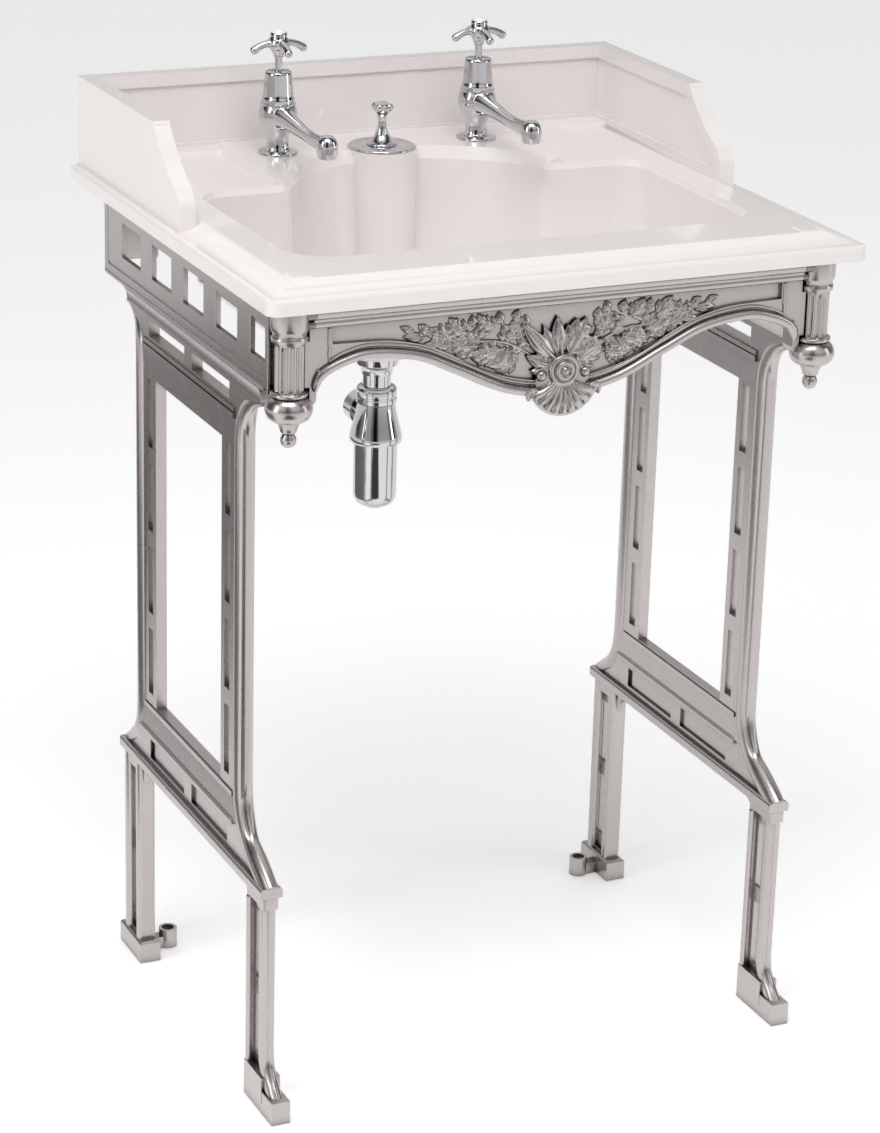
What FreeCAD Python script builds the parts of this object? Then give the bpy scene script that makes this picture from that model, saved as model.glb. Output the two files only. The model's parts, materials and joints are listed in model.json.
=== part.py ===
import FreeCAD, Part
import os
from math import atan2, cos, degrees, pi, sin, sqrt
from FreeCAD import Vector

os.makedirs("parts", exist_ok=True)

# Axes: X runs left to right, Y from the front edge to the wall, Z up. The feet stand on Z = 0.
# All sizes are millimetres.

# Basin
BASIN_WIDTH = 650.0
BASIN_DEPTH = 580.0
STAND_HEIGHT = 870.0
LIP_THICK = 16.0
RIM_THICK = 26.0
RIM_LINE = 0.8
CORNER_RADIUS = 13.0
BAND_WIDTH = 45.0
RECESS_HIGH = 14.0
PLATFORM_RISE = 6.0
PLATFORM_HALF = 165.0
PLATFORM_LENGTH = 194.0
UPSTAND_RISE = 86.0
UPSTAND_REACH = 314.0
UPSTAND_INSET = 9.0
UPSTAND_WALL = 15.0
UPSTAND_BORDER = 3.0
UPSTAND_BORDER_HIGH = 14.0
BACK_LEDGE = 26.0
BACK_LEDGE_RISE = 4.0
BOWL_SIDE_RIM = 70.0
BOWL_FRONT_RIM = 102.0
BOWL_BACK_RIM = 200.0
BOWL_DEPTH = 208.0
BOWL_CORNER = 48.0
BOWL_BACK_CORNER = 32.0
BOWL_DRAFT = 12.0
BOWL_EDGE = 7.0
FLOOR_DROP = 101.0
FLOOR_FALL = 0.3
ARCH_RADIUS = 163.5
ARCH_SET_BACK = 62.0
ARCH_ROUND = 18.0
CHINA_WALL = 13.0
SKIRT_HIGH = 70.0
SKIRT_THICK = 18.0
SKIRT_HALF = 230.0
WALL_HOLE_RADIUS = 7.0
WALL_HOLE_SPACING = 280.0
WALL_HOLE_DROP = 40.0

# Waste: half-column, standpipe, pipe and trap on one upright axis
WASTE_FROM_WALL = 92.0
COLUMN_RADIUS = 39.0
CHAMBER_RADIUS = 27.0
CHAMBER_DROP = 7.0
CHAMBER_BASE = 12.0
WEIR_WIDTH = 32.0
WEIR_HIGH = 26.0
PIPE_RADIUS = 16.0
PIPE_WALL = 1.8
PIPE_CLEARANCE = 1.0
OUTLET_FLANGE_RADIUS = 25.0
OUTLET_FLANGE_THICK = 3.0
PLATE_RADIUS = 39.5
PLATE_THICK = 3.0
KNOB_HIGH = 47.0
KNOB_FOOT_RADIUS = 17.0
LIFT_ROD_RADIUS = 4.0
STANDPIPE_DROP = 52.0
STANDPIPE_RADIUS = 13.5
STANDPIPE_WALL = 2.0
SEAL_THICK = 4.0
FLARE_HIGH = 13.0
FLARE_RADIUS = 24.0
TRAP_DROP = 58.0
NECK_RADIUS = 19.0
NECK_HIGH = 13.0
TRAP_NUT_RADIUS = 23.0
HEAD_RADIUS = 28.0
HEAD_HIGH = 49.0
BOTTLE_RADIUS = 24.8
BOTTLE_WALL = 2.0
BOTTLE_HIGH = 67.0
DIP_RADIUS = 12.5
OUTLET_RADIUS = 17.0
OUTLET_REACH = 48.0
OUTLET_NUT_LONG = 20.0

# Taps
TAP_SPACING = 236.0
TAP_FROM_WALL = 82.0
TAP_FLANGE_RADIUS = 22.0
TAP_FLANGE_THICK = 3.0
TAP_HOLE_CLEARANCE = 0.6
TAIL_RADIUS = 10.4
TAIL_END_RADIUS = 10.2
TAIL_END_LONG = 23.5
TAP_WASHER_THICK = 2.5
BACKNUT_HIGH = 9.0
BACKNUT_ACROSS = 32.0
TAP_NECK_RADIUS = 12.0
TAP_CUP_RADIUS = 21.0
TAP_BODY_HIGH = 52.0
TAP_COLLAR_HIGH = 3.0
COVER_RADIUS = 17.8
COVER_HIGH = 32.0
SPINDLE_RADIUS = 4.0
HUB_GAP = 14.0
HUB_HIGH = 25.0
HUB_RADIUS = 11.0
ARM_REACH = 32.0
ARM_TIP_RADIUS = 4.1
INDEX_RADIUS = 7.5
INDEX_HIGH = 5.0
SPOUT_REACH = 138.0
NOZZLE_RADIUS = 11.0
NOZZLE_HIGH = 25.0
SHAFT_CLEARANCE = 0.05
THREAD_CLEARANCE = 0.1
PRESS_CLEARANCE = 0.03

# Side frames
FRAME_INSET = 20.0
FRAME_THICK = 20.0
WEB = 12.0
FRIEZE_HIGH = 92.0
FRIEZE_FROM_WALL = 50.0
FRIEZE_FROM_FRONT = 54.0
FRIEZE_FLANGE = 40.0
COVE_HIGH = 14.0
PANE_SILL = 30.0
PANE_HIGH = 37.0
PANE_WIDTH = 58.0
PANE_GAP = 35.0
PANE_FROM_REAR = 58.0
PANE_COUNT = 5
FRAME_MIDDLE = -8.0
OPENING_HALF = 97.0
STILE_WIDTH = 60.5
PILLAR_WIDTH = 25.0
SLOT_WIDTH = 14.0
SLOT_GAP = 18.5
TOP_RAIL_HIGH = 67.0
BOTTOM_RAIL_HIGH = 70.0
LEG_HEIGHT = 243.0
CAP_THICK = 11.0
CAP_WIDTH = 24.0
CAP_REAR_REACH = 202.0
CAP_FRONT_REACH = 228.0
REAR_LEG_DEPTH = 50.0
FRONT_LEG_DEPTH = 46.0
LEG_SLOT_HIGH = 76.0
PLINTH_HIGH = 25.0
PLINTH_WIDTH = 24.0
TOE_REACH = 44.0
LUG_REACH = 23.0
LUG_RADIUS = 10.5
LUG_HIGH = 22.0
LUG_HOLE = 3.5

# Apron and corner posts
APRON_FROM_FRONT = 35.0
APRON_THICK = 12.0
APRON_MIDDLE_DROP = 118.0
APRON_ARCH_DROP = 59.0
APRON_BORDER = 16.0
APRON_FIELD_DEPTH = 4.0
SHELL_HALF = 34.0
PIER_WIDTH = 23.0
PIER_HIGH = 102.0
PIER_DEPTH = 20.0
CAPITAL_RADIUS = 19.0
SHAFT_RADIUS = 14.5
BULGE_RADIUS = 19.5
BALL_RADIUS = 7.0
POST_CLEARANCE = 0.2

# Levels and lines that follow from the sizes above
HALF_WIDTH = BASIN_WIDTH / 2
FRONT = -BASIN_DEPTH / 2
WALL = BASIN_DEPTH / 2
LIP_TOP = STAND_HEIGHT + LIP_THICK
RIM_TOP = STAND_HEIGHT + RIM_THICK
RECESS_TOP = STAND_HEIGHT + RECESS_HIGH
PLATFORM_TOP = RIM_TOP + PLATFORM_RISE
LEDGE_TOP = RIM_TOP + BACK_LEDGE_RISE
UPSTAND_TOP = RIM_TOP + UPSTAND_RISE
UPSTAND_OUTER = HALF_WIDTH - UPSTAND_INSET
UPSTAND_INNER = UPSTAND_OUTER - UPSTAND_WALL - UPSTAND_BORDER
BOWL_HALF = HALF_WIDTH - BOWL_SIDE_RIM
BOWL_FRONT = FRONT + BOWL_FRONT_RIM
BOWL_BACK = WALL - BOWL_BACK_RIM
BOWL_FLOOR = RIM_TOP - BOWL_DEPTH
ARCH_Y = BOWL_BACK - ARCH_SET_BACK
WASTE_Y = WALL - WASTE_FROM_WALL
CHAMBER_FLOOR = BOWL_FLOOR - CHAMBER_DROP
UNDERSIDE = CHAMBER_FLOOR - CHAMBER_BASE
FRAME_OUTER = HALF_WIDTH - FRAME_INSET
FRAME_INNER = FRAME_OUTER - FRAME_THICK
FRAME_X = FRAME_OUTER - FRAME_THICK / 2
FRIEZE_BOTTOM = STAND_HEIGHT - FRIEZE_HIGH
FRIEZE_REAR = WALL - FRIEZE_FROM_WALL
FRIEZE_FRONT = FRONT + FRIEZE_FROM_FRONT
COVE_BOTTOM = FRIEZE_BOTTOM - COVE_HIGH
CAP_TOP = LEG_HEIGHT + CAP_THICK
OPENING_LOW = CAP_TOP + BOTTOM_RAIL_HIGH
OPENING_HIGH = COVE_BOTTOM - TOP_RAIL_HIGH
FRAME_REAR = FRAME_MIDDLE + OPENING_HALF + STILE_WIDTH
FRAME_FRONT = FRAME_MIDDLE - OPENING_HALF - STILE_WIDTH
CAP_REAR = FRAME_MIDDLE + CAP_REAR_REACH
CAP_FRONT = FRAME_MIDDLE - CAP_FRONT_REACH
REAR_LEG_END = CAP_REAR - 7
FRONT_LEG_END = CAP_FRONT + 2
APRON_FACE = FRONT + APRON_FROM_FRONT
APRON_BACK = APRON_FACE + APRON_THICK
PIER_INNER = FRAME_INNER - PIER_WIDTH
POST_X = FRAME_INNER + 3.5
POST_Y = APRON_FACE + 5


def save(shape, name):
    shape.exportStep("parts/" + name + ".step")


def place(plane, level, u, v):
    if plane == "XY":
        return Vector(u, v, level)
    if plane == "YZ":
        return Vector(level, u, v)
    return Vector(u, level, v)


def outline(plane, level, points):
    """Closed wire. A two-number point ends a line and a four-number point ends an arc."""
    edges = []
    here = place(plane, level, points[0][-2], points[0][-1])
    for point in list(points[1:]) + [points[0][-2:]]:
        there = place(plane, level, point[-2], point[-1])
        if len(point) == 4:
            middle = place(plane, level, point[0], point[1])
            edges.append(Part.Arc(here, middle, there).toShape())
        elif (there - here).Length > 1e-6:
            edges.append(Part.LineSegment(here, there).toShape())
        here = there
    return Part.Wire(edges)


def prism(plane, start, end, points):
    """Solid between two levels of a plane, with the outline given by points."""
    face = Part.Face(outline(plane, start, points))
    return face.extrude(place(plane, end - start, 0, 0))


def box(x, y, z):
    """Box from three pairs of limits."""
    size = (max(x) - min(x), max(y) - min(y), max(z) - min(z))
    return Part.makeBox(size[0], size[1], size[2], Vector(min(x), min(y), min(z)))


def turned(x, y, points):
    """Solid turned about an upright axis from points given as radius and height."""
    face = Part.Face(outline("XZ", 0, points))
    solid = face.revolve(Vector(0, 0, 0), Vector(0, 0, 1), 360)
    solid.translate(Vector(x, y, 0))
    return solid


def drum(x, y, low, high, radius):
    return Part.makeCylinder(radius, high - low, Vector(x, y, low))


def mirrored(shape):
    return shape.mirror(Vector(0, 0, 0), Vector(1, 0, 0))


def hexagon(x, y, low, high, across, bore):
    """Hexagonal nut with a round bore."""
    corner = across / sqrt(3)
    corners = [(x + corner * cos(k * pi / 3), y + corner * sin(k * pi / 3)) for k in range(6)]
    return prism("XY", low, high, corners).cut(drum(x, y, low - 1, high + 1, bore))


def merged(shapes):
    result = shapes[0]
    for shape in shapes[1:]:
        result = result.fuse(shape)
    return result.removeSplitter()


# Basin: moulded rim, upstands, platform, bowl and half-column in one casting


def bowl_outline(level, inward):
    """Bowl outline at a height, moved inward, or outward when negative."""
    root = sqrt(0.5)
    side = BOWL_HALF - inward
    front = BOWL_FRONT + inward
    back = BOWL_BACK - inward
    corner = BOWL_CORNER - inward
    corner_x = BOWL_HALF - BOWL_CORNER
    corner_y = BOWL_FRONT + BOWL_CORNER
    rear = BOWL_BACK_CORNER - inward
    rear_x = BOWL_HALF - BOWL_BACK_CORNER
    rear_y = BOWL_BACK - BOWL_BACK_CORNER
    round_y = BOWL_BACK + ARCH_ROUND
    reach = ARCH_RADIUS + ARCH_ROUND
    round_x = sqrt(reach ** 2 - (round_y - ARCH_Y) ** 2)
    round_radius = ARCH_ROUND + inward
    toward = (round_x / reach, (round_y - ARCH_Y) / reach)
    meet_x = round_x - round_radius * toward[0]
    meet_y = round_y - round_radius * toward[1]
    half = Vector(toward[0], toward[1] + 1, 0).normalize()
    mid_x = round_x - round_radius * half.x
    mid_y = round_y - round_radius * half.y
    right = [
        (corner_x + corner * root, corner_y - corner * root, side, corner_y),
        (side, rear_y),
        (rear_x + rear * root, rear_y + rear * root, rear_x, back),
        (round_x, back),
        (mid_x, mid_y, meet_x, meet_y),
    ]
    left = [
        (-mid_x, mid_y, -round_x, back),
        (-rear_x, back),
        (-rear_x - rear * root, rear_y + rear * root, -side, rear_y),
        (-side, corner_y),
        (-corner_x - corner * root, corner_y - corner * root, -corner_x, front),
    ]
    arch = [(0, ARCH_Y + ARCH_RADIUS - inward, -meet_x, meet_y)]
    return outline("XY", level, [(-corner_x, front), (corner_x, front)] + right + arch + left)


def bowl_form(top, floor, outward):
    """Bowl-shaped solid: sloping walls, rounded flanks and a floor that falls to the waste."""
    wires = [bowl_outline(floor, BOWL_DRAFT - outward), bowl_outline(top, -outward)]
    walls = Part.makeLoft(wires, True, True)
    half = BOWL_HALF + outward
    drop = outward * 1.22
    wall_end = RIM_TOP - 46
    bend = RIM_TOP - 74 - drop
    shelf = RIM_TOP - 88 - drop
    low = BOWL_FLOOR + 12 - drop
    shelf_x = BOWL_HALF - 17 + outward * 0.3
    flank = [
        (-half - 40, top + 1), (-half - 1, top + 1), (-half + 3, wall_end),
        (-half + 7, bend, -shelf_x, shelf),
        (-102, low), (-88, floor + 3, -66, floor), (66, floor),
        (88, floor + 3, 102, low), (shelf_x, shelf),
        (half - 7, bend, half - 3, wall_end), (half + 1, top + 1), (half + 40, top + 1),
        (half + 40, top + 2), (-half - 40, top + 2),
    ]
    front = BOWL_FRONT - outward
    rear = ARCH_Y + ARCH_RADIUS + outward + 5
    start = front + 38
    slope_z = RIM_TOP - FLOOR_DROP - outward * 1.05
    end_z = slope_z - FLOOR_FALL * (rear - start)
    keel = [
        (front - 1, top + 1), (front + 3, wall_end),
        (front + 11, RIM_TOP - 87 - outward, start, slope_z),
        (rear, end_z), (rear, top + 1),
    ]
    form = walls.common(prism("XZ", front - 5, rear + 5, flank))
    return form.common(prism("YZ", -half - 5, half + 5, keel))


def rim_section(edge, far):
    """Moulded edge from the lip inward, closed at the far side."""
    sign = 1 if far > edge else -1

    def at(distance):
        return edge + sign * distance

    return [
        (far, STAND_HEIGHT),
        (edge, STAND_HEIGHT),
        (edge, LIP_TOP - 5),
        (at(1.5), LIP_TOP - 1.5, at(5), LIP_TOP),
        (at(18), LIP_TOP + 1.4, at(29), RIM_TOP - 4),
        (at(33.5), RIM_TOP - 1.4, at(38), RIM_TOP - 0.6),
        (at(40), RIM_TOP),
        (at(58), RIM_TOP),
        (at(59), RIM_TOP - RIM_LINE),
        (far, RIM_TOP - RIM_LINE),
    ]


def make_basin():
    root = CORNER_RADIUS * (1 - sqrt(0.5))
    rim = prism("YZ", -HALF_WIDTH, HALF_WIDTH, rim_section(FRONT, WALL))
    rim = rim.common(prism("XZ", FRONT, WALL, rim_section(-HALF_WIDTH, 0)).fuse(
        prism("XZ", FRONT, WALL, rim_section(HALF_WIDTH, 0))))
    rim = rim.common(prism("XY", STAND_HEIGHT, RIM_TOP, [
        (-HALF_WIDTH + CORNER_RADIUS, FRONT),
        (HALF_WIDTH - CORNER_RADIUS, FRONT),
        (HALF_WIDTH - root, FRONT + root, HALF_WIDTH, FRONT + CORNER_RADIUS),
        (HALF_WIDTH, WALL),
        (-HALF_WIDTH, WALL),
        (-HALF_WIDTH, FRONT + CORNER_RADIUS),
        (-HALF_WIDTH + root, FRONT + root, -HALF_WIDTH + CORNER_RADIUS, FRONT),
    ]))
    end = WALL - UPSTAND_REACH
    base = STAND_HEIGHT + 4
    side = [
        (WALL, base),
        (WALL, UPSTAND_TOP),
        (end + 80, UPSTAND_TOP),
        (end + 77, UPSTAND_TOP - 1, end + 76, UPSTAND_TOP - 4),
        (end + 49, RIM_TOP + 55, end + 14, RIM_TOP + 32),
        (end + 5.5, RIM_TOP + 23, end + 1, RIM_TOP + 9),
        (end, base),
    ]
    border_top = UPSTAND_TOP - UPSTAND_BORDER_HIGH
    pocket = [
        (WALL - 10, LEDGE_TOP + 4),
        (WALL - 10, border_top),
        (end + 84, border_top),
        (end + 60, RIM_TOP + 45, end + 27, RIM_TOP + 23),
        (end + 19, RIM_TOP + 15, end + 16, LEDGE_TOP + 4),
    ]
    upstand = prism("YZ", UPSTAND_INNER, UPSTAND_OUTER, side)
    upstand = upstand.cut(prism("YZ", UPSTAND_INNER - 1, UPSTAND_INNER + UPSTAND_BORDER, pocket))
    back_face = WALL - UPSTAND_WALL - UPSTAND_BORDER
    back = box((-UPSTAND_OUTER, UPSTAND_OUTER), (back_face, WALL), (base, UPSTAND_TOP))
    inside = UPSTAND_OUTER - UPSTAND_WALL
    back = back.cut(box((-inside, inside), (back_face - 1, back_face + UPSTAND_BORDER),
                        (LEDGE_TOP + 4, border_top)))
    ledge_face = back_face - BACK_LEDGE
    ledge = prism("YZ", -UPSTAND_INNER, UPSTAND_INNER, [
        (back_face + 1, base),
        (back_face + 1, LEDGE_TOP),
        (ledge_face, LEDGE_TOP),
        (ledge_face - 3, RIM_TOP - RIM_LINE),
        (ledge_face - 3, base),
    ])
    slope = PLATFORM_HALF + 6
    low = RIM_TOP - RIM_LINE - 0.4
    platform = prism("XZ", WALL - PLATFORM_LENGTH, WALL - 4, [
        (-slope, base), (slope, base), (slope, low),
        (PLATFORM_HALF, PLATFORM_TOP), (-PLATFORM_HALF, PLATFORM_TOP), (-slope, low),
    ])
    top = merged([rim, upstand, mirrored(upstand), back, ledge, platform])
    inner = HALF_WIDTH - BAND_WIDTH
    top = top.cut(box((-inner, inner), (FRONT + BAND_WIDTH, WALL - SKIRT_THICK),
                      (STAND_HEIGHT - 1, RECESS_TOP)))
    shell = bowl_form(LIP_TOP, UNDERSIDE, CHINA_WALL)
    column = drum(0, WASTE_Y, UNDERSIDE, PLATFORM_TOP, COLUMN_RADIUS)
    skirt = box((-SKIRT_HALF, SKIRT_HALF), (WALL - SKIRT_THICK, WALL),
                (STAND_HEIGHT - SKIRT_HIGH, LIP_TOP))
    china = merged([top, shell, skirt])
    china = china.cut(bowl_form(PLATFORM_TOP + 1, BOWL_FLOOR, 0))
    china = china.cut(Part.makeLoft([bowl_outline(RIM_TOP - BOWL_EDGE, 0),
                                     bowl_outline(PLATFORM_TOP + 1, -BOWL_EDGE)], True, True))
    china = merged([china, column])
    holes = [
        drum(0, WASTE_Y, CHAMBER_FLOOR, PLATFORM_TOP + 1, CHAMBER_RADIUS),
        drum(0, WASTE_Y, UNDERSIDE - 1, CHAMBER_FLOOR + 1, PIPE_RADIUS + PIPE_CLEARANCE),
        box((-WEIR_WIDTH / 2, WEIR_WIDTH / 2), (WASTE_Y - COLUMN_RADIUS - 4, WASTE_Y),
            (BOWL_FLOOR + 12, BOWL_FLOOR + 12 + WEIR_HIGH)),
    ]
    for sign in (-1, 1):
        holes.append(drum(sign * TAP_SPACING / 2, WALL - TAP_FROM_WALL, RECESS_TOP - 5,
                          PLATFORM_TOP + 1, TAIL_RADIUS + TAP_HOLE_CLEARANCE))
        holes.append(Part.makeCylinder(
            WALL_HOLE_RADIUS, SKIRT_THICK + 12,
            Vector(sign * WALL_HOLE_SPACING / 2, WALL - SKIRT_THICK - 7,
                   STAND_HEIGHT - WALL_HOLE_DROP), Vector(0, 1, 0)))
    for hole in holes:
        china = china.cut(hole)
    return china


basin = make_basin()
column = drum(0, WASTE_Y, UNDERSIDE - 1, PLATFORM_TOP + 1, COLUMN_RADIUS)
save(basin.cut(column), "basin")
save(basin.common(column), "basin_column")


# Corner posts with ball finials

H = STAND_HEIGHT
SHAFT_END = H - 85
POST_PROFILE = [
    (0, H), (CAPITAL_RADIUS - 2, H), (CAPITAL_RADIUS, H - 3), (CAPITAL_RADIUS, H - 22),
    (SHAFT_RADIUS + 1.7, H - 29), (SHAFT_RADIUS + 3.1, H - 30.5), (SHAFT_RADIUS + 3.1, H - 34),
    (SHAFT_RADIUS, H - 36), (SHAFT_RADIUS, SHAFT_END), (BULGE_RADIUS - 2, H - 87),
    (BULGE_RADIUS - 2, H - 91), (BULGE_RADIUS - 0.5, H - 94), (BULGE_RADIUS, H - 101),
    (BULGE_RADIUS - 2.2, H - 108), (11, H - 113), (8.5, H - 126), (6, H - 127), (0, H - 127),
]


def make_post():
    post = turned(POST_X, POST_Y, POST_PROFILE)
    reach = SHAFT_RADIUS + 2.1
    for k in range(12):
        angle = pi * (k + 0.5) / 6
        post = post.cut(drum(POST_X + reach * cos(angle), POST_Y + reach * sin(angle),
                             SHAFT_END + 3, H - 39, 3.2))
    return post


def around_post(shape, sign):
    """Cuts the room for a corner post, with its clearance, out of a neighbour."""
    for low, high, radius in ((H - 37, H + 1, CAPITAL_RADIUS),
                              (SHAFT_END + 1, H - 36, SHAFT_RADIUS),
                              (SHAFT_END - 25, SHAFT_END + 2, BULGE_RADIUS)):
        shape = shape.cut(drum(sign * POST_X, POST_Y, low, high, radius + POST_CLEARANCE))
    return shape


post = make_post()
middle = H - 127 - BALL_RADIUS + 1
finial = turned(POST_X, POST_Y, [
    (0, H - 127), (4, H - 127), (4, middle + 4.6), (BALL_RADIUS - 0.8, middle + 3),
    (BALL_RADIUS, middle), (BALL_RADIUS - 0.8, middle - 3), (4, middle - 5.6),
    (0, middle - BALL_RADIUS + 1)])
save(mirrored(post), "corner_post_left")
save(post, "corner_post_right")
save(mirrored(finial), "corner_finial_left")
save(finial, "corner_finial_right")


# Side frieze: five openings, a rounded rear edge, a border line and a cove under it


def make_frieze():
    body = prism("XY", FRIEZE_BOTTOM, STAND_HEIGHT, [
        (FRAME_INNER, FRIEZE_FRONT),
        (FRAME_OUTER, FRIEZE_FRONT),
        (FRAME_OUTER, FRIEZE_REAR - 5),
        (FRAME_OUTER - 1.5, FRIEZE_REAR - 1.5, FRAME_OUTER - 5, FRIEZE_REAR),
        (FRAME_INNER, FRIEZE_REAR),
    ])
    cove = prism("XZ", FRIEZE_FRONT + 26, FRIEZE_REAR - 62, [
        (FRAME_INNER, FRIEZE_BOTTOM + 2),
        (FRAME_OUTER, FRIEZE_BOTTOM + 2),
        (FRAME_OUTER, FRIEZE_BOTTOM),
        (FRAME_OUTER - 2.6, FRIEZE_BOTTOM - 6, FRAME_X + WEB / 2, COVE_BOTTOM),
        (FRAME_X - WEB / 2, COVE_BOTTOM),
        (FRAME_INNER + 2.6, FRIEZE_BOTTOM - 6, FRAME_INNER, FRIEZE_BOTTOM),
    ])
    flange = box((FRAME_INNER - FRIEZE_FLANGE, FRAME_INNER + 1), (FRIEZE_REAR - 6, FRIEZE_REAR),
                 (FRIEZE_BOTTOM + 12, STAND_HEIGHT))
    frieze = merged([body, cove, flange])
    low = FRIEZE_BOTTOM + PANE_SILL
    high = low + PANE_HIGH
    rear = FRIEZE_REAR - PANE_FROM_REAR
    for k in range(PANE_COUNT):
        start = max(rear - PANE_WIDTH, FRIEZE_FRONT + 7)
        frieze = frieze.cut(box((FRAME_INNER - 1, FRAME_OUTER + 1), (start, rear), (low, high)))
        rear = rear - PANE_WIDTH - PANE_GAP
    groove = (FRAME_OUTER - 1.2, FRAME_OUTER + 1)
    for z in (low - 17, high + 12):
        frieze = frieze.cut(box(groove, (FRIEZE_FRONT + 4, FRIEZE_REAR - 12), (z, z + 3)))
    frieze = frieze.cut(box(groove, (FRIEZE_REAR - 15, FRIEZE_REAR - 12), (low - 17, high + 15)))
    return around_post(frieze, 1)


frieze = make_frieze()
save(mirrored(frieze), "side_frieze_left")
save(frieze, "side_frieze_right")


# Side frame: two pillared stiles, rails with slots and one big opening


def flat_bar(y, z, thick):
    return box((FRAME_X - thick / 2, FRAME_X + thick / 2), y, z)


def rounded_bar(y, z, radius):
    """Upright bar as thick as the frame, with rounded upright edges."""
    bar = flat_bar(y, z, FRAME_THICK)
    edges = [edge for edge in bar.Edges if edge.BoundBox.ZLength > 1]
    return bar.makeFillet(min(radius, abs(y[1] - y[0]) / 2 - 0.5, FRAME_THICK / 2 - 0.5), edges)


def make_frame():
    rear = FRAME_REAR
    front = FRAME_FRONT
    web = prism("YZ", FRAME_X - WEB / 2, FRAME_X + WEB / 2, [
        (rear + 30, COVE_BOTTOM),
        (rear + 30, COVE_BOTTOM - 3),
        (rear + 28, COVE_BOTTOM - 3),
        (rear + 5.4, COVE_BOTTOM - 12.4, rear - 4, COVE_BOTTOM - 35),
        (rear - 4, OPENING_LOW),
        (rear + 7, CAP_TOP + 31, rear + 40, CAP_TOP - 1),
        (rear + 40, LEG_HEIGHT + 1),
        (CAP_FRONT + 10.5, LEG_HEIGHT + 1),
        (CAP_FRONT + 10.5, CAP_TOP - 1),
        (front - 13, CAP_TOP + 26, front + 4, OPENING_LOW),
        (front + 4, COVE_BOTTOM - 47),
        (front - 8.9, COVE_BOTTOM - 15.9, front - 40, COVE_BOTTOM - 3),
        (front - 42, COVE_BOTTOM - 3),
        (front - 42, COVE_BOTTOM),
    ])
    pieces = [web]
    for y in ((rear - PILLAR_WIDTH, rear), (front, front + PILLAR_WIDTH)):
        pieces.append(rounded_bar(y, (CAP_TOP - 2, COVE_BOTTOM - 16), 8))
    inside = (front + PILLAR_WIDTH / 2, rear - PILLAR_WIDTH / 2)
    for z, high, thick in ((OPENING_HIGH + 28, 6, 17), (OPENING_HIGH + 35, 5, 15),
                           (OPENING_LOW - 35, 7, 19), (OPENING_LOW - 6, 5, 15)):
        pieces.append(flat_bar(inside, (z, z + high), thick))
    half = CAP_WIDTH / 2
    pieces.append(prism("XZ", CAP_FRONT, CAP_REAR, [
        (FRAME_X - half, LEG_HEIGHT), (FRAME_X + half, LEG_HEIGHT),
        (FRAME_X + half, CAP_TOP - 4),
        (FRAME_X + half - 1, CAP_TOP - 1, FRAME_X + half - 4, CAP_TOP),
        (FRAME_X - half + 4, CAP_TOP),
        (FRAME_X - half + 1, CAP_TOP - 1, FRAME_X - half, CAP_TOP - 4)]))
    frame = merged(pieces)
    frame = frame.cut(flat_bar((FRAME_MIDDLE - OPENING_HALF, FRAME_MIDDLE + OPENING_HALF),
                               (OPENING_LOW, OPENING_HIGH), 30))
    slot_high = (OPENING_HIGH - OPENING_LOW - 16 - 3 * SLOT_GAP) / 4
    for side in (-1, 1):
        near = FRAME_MIDDLE + side * 11
        end = FRAME_MIDDLE + side * (OPENING_HALF + 20)
        frame = frame.cut(flat_bar((near, end), (COVE_BOTTOM - 23, COVE_BOTTOM - 5), 30))
        frame = frame.cut(flat_bar((near, end), (CAP_TOP + 6, CAP_TOP + 28), 30))
        slot = FRAME_MIDDLE + side * (OPENING_HALF + 10 + SLOT_WIDTH / 2)
        for k in range(4):
            low = OPENING_LOW + 13 + k * (slot_high + SLOT_GAP)
            frame = frame.cut(flat_bar((slot - SLOT_WIDTH / 2, slot + SLOT_WIDTH / 2),
                                       (low, low + slot_high), 30))
    return frame


frame = make_frame()
save(mirrored(frame), "side_frame_left")
save(frame, "side_frame_right")


# Legs under each frame, with slots, a rounded pillar and a plinth


def make_leg(low, high, pillar, plinth, toe):
    pieces = [flat_bar((low + 3, high - 3), (0, LEG_HEIGHT), WEB)]
    for y in ((low, low + pillar[0]), (high - pillar[1], high)):
        pieces.append(rounded_bar(y, (0, LEG_HEIGHT), 5))
    pieces.append(flat_bar((low + 6, high - 6), (LEG_HEIGHT - 12, LEG_HEIGHT), FRAME_THICK - 2))
    foot = flat_bar(plinth, (0, PLINTH_HIGH), PLINTH_WIDTH)
    edges = [edge for edge in foot.Edges if abs(edge.BoundBox.ZMin - PLINTH_HIGH) < 0.01]
    pieces.append(foot.makeChamfer(2.5, edges))
    if toe:
        start = plinth[0] + 6
        pieces.append(prism("YZ", FRAME_X - FRAME_THICK / 2, FRAME_X + FRAME_THICK / 2, [
            (low + 4, PLINTH_HIGH + 53),
            (low, PLINTH_HIGH + 53),
            (low - 10, PLINTH_HIGH + 19, start, PLINTH_HIGH - 1),
            (start, 10),
            (low + 4, 10),
        ]))
    leg = merged(pieces)
    span = (low + pillar[0] + 4, high - pillar[1] - 4)
    top = LEG_HEIGHT - 27
    for z in (top - LEG_SLOT_HIGH, top - 2 * LEG_SLOT_HIGH - SLOT_GAP):
        leg = leg.cut(flat_bar(span, (z, z + LEG_SLOT_HIGH), 30))
    return leg


rear_start = REAR_LEG_END - REAR_LEG_DEPTH
front_rear = FRONT_LEG_END + FRONT_LEG_DEPTH
rear_leg = make_leg(rear_start, REAR_LEG_END, (14, 14), (rear_start - 9, REAR_LEG_END + 9), False)
front_leg = make_leg(FRONT_LEG_END, front_rear, (18, 8),
                     (FRONT_LEG_END - TOE_REACH, front_rear), True)
save(mirrored(rear_leg), "leg_rear_left")
save(rear_leg, "leg_rear_right")
save(mirrored(front_leg), "leg_front_left")
save(front_leg, "leg_front_right")


# Floor lugs on the inner side of the rear legs

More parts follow.
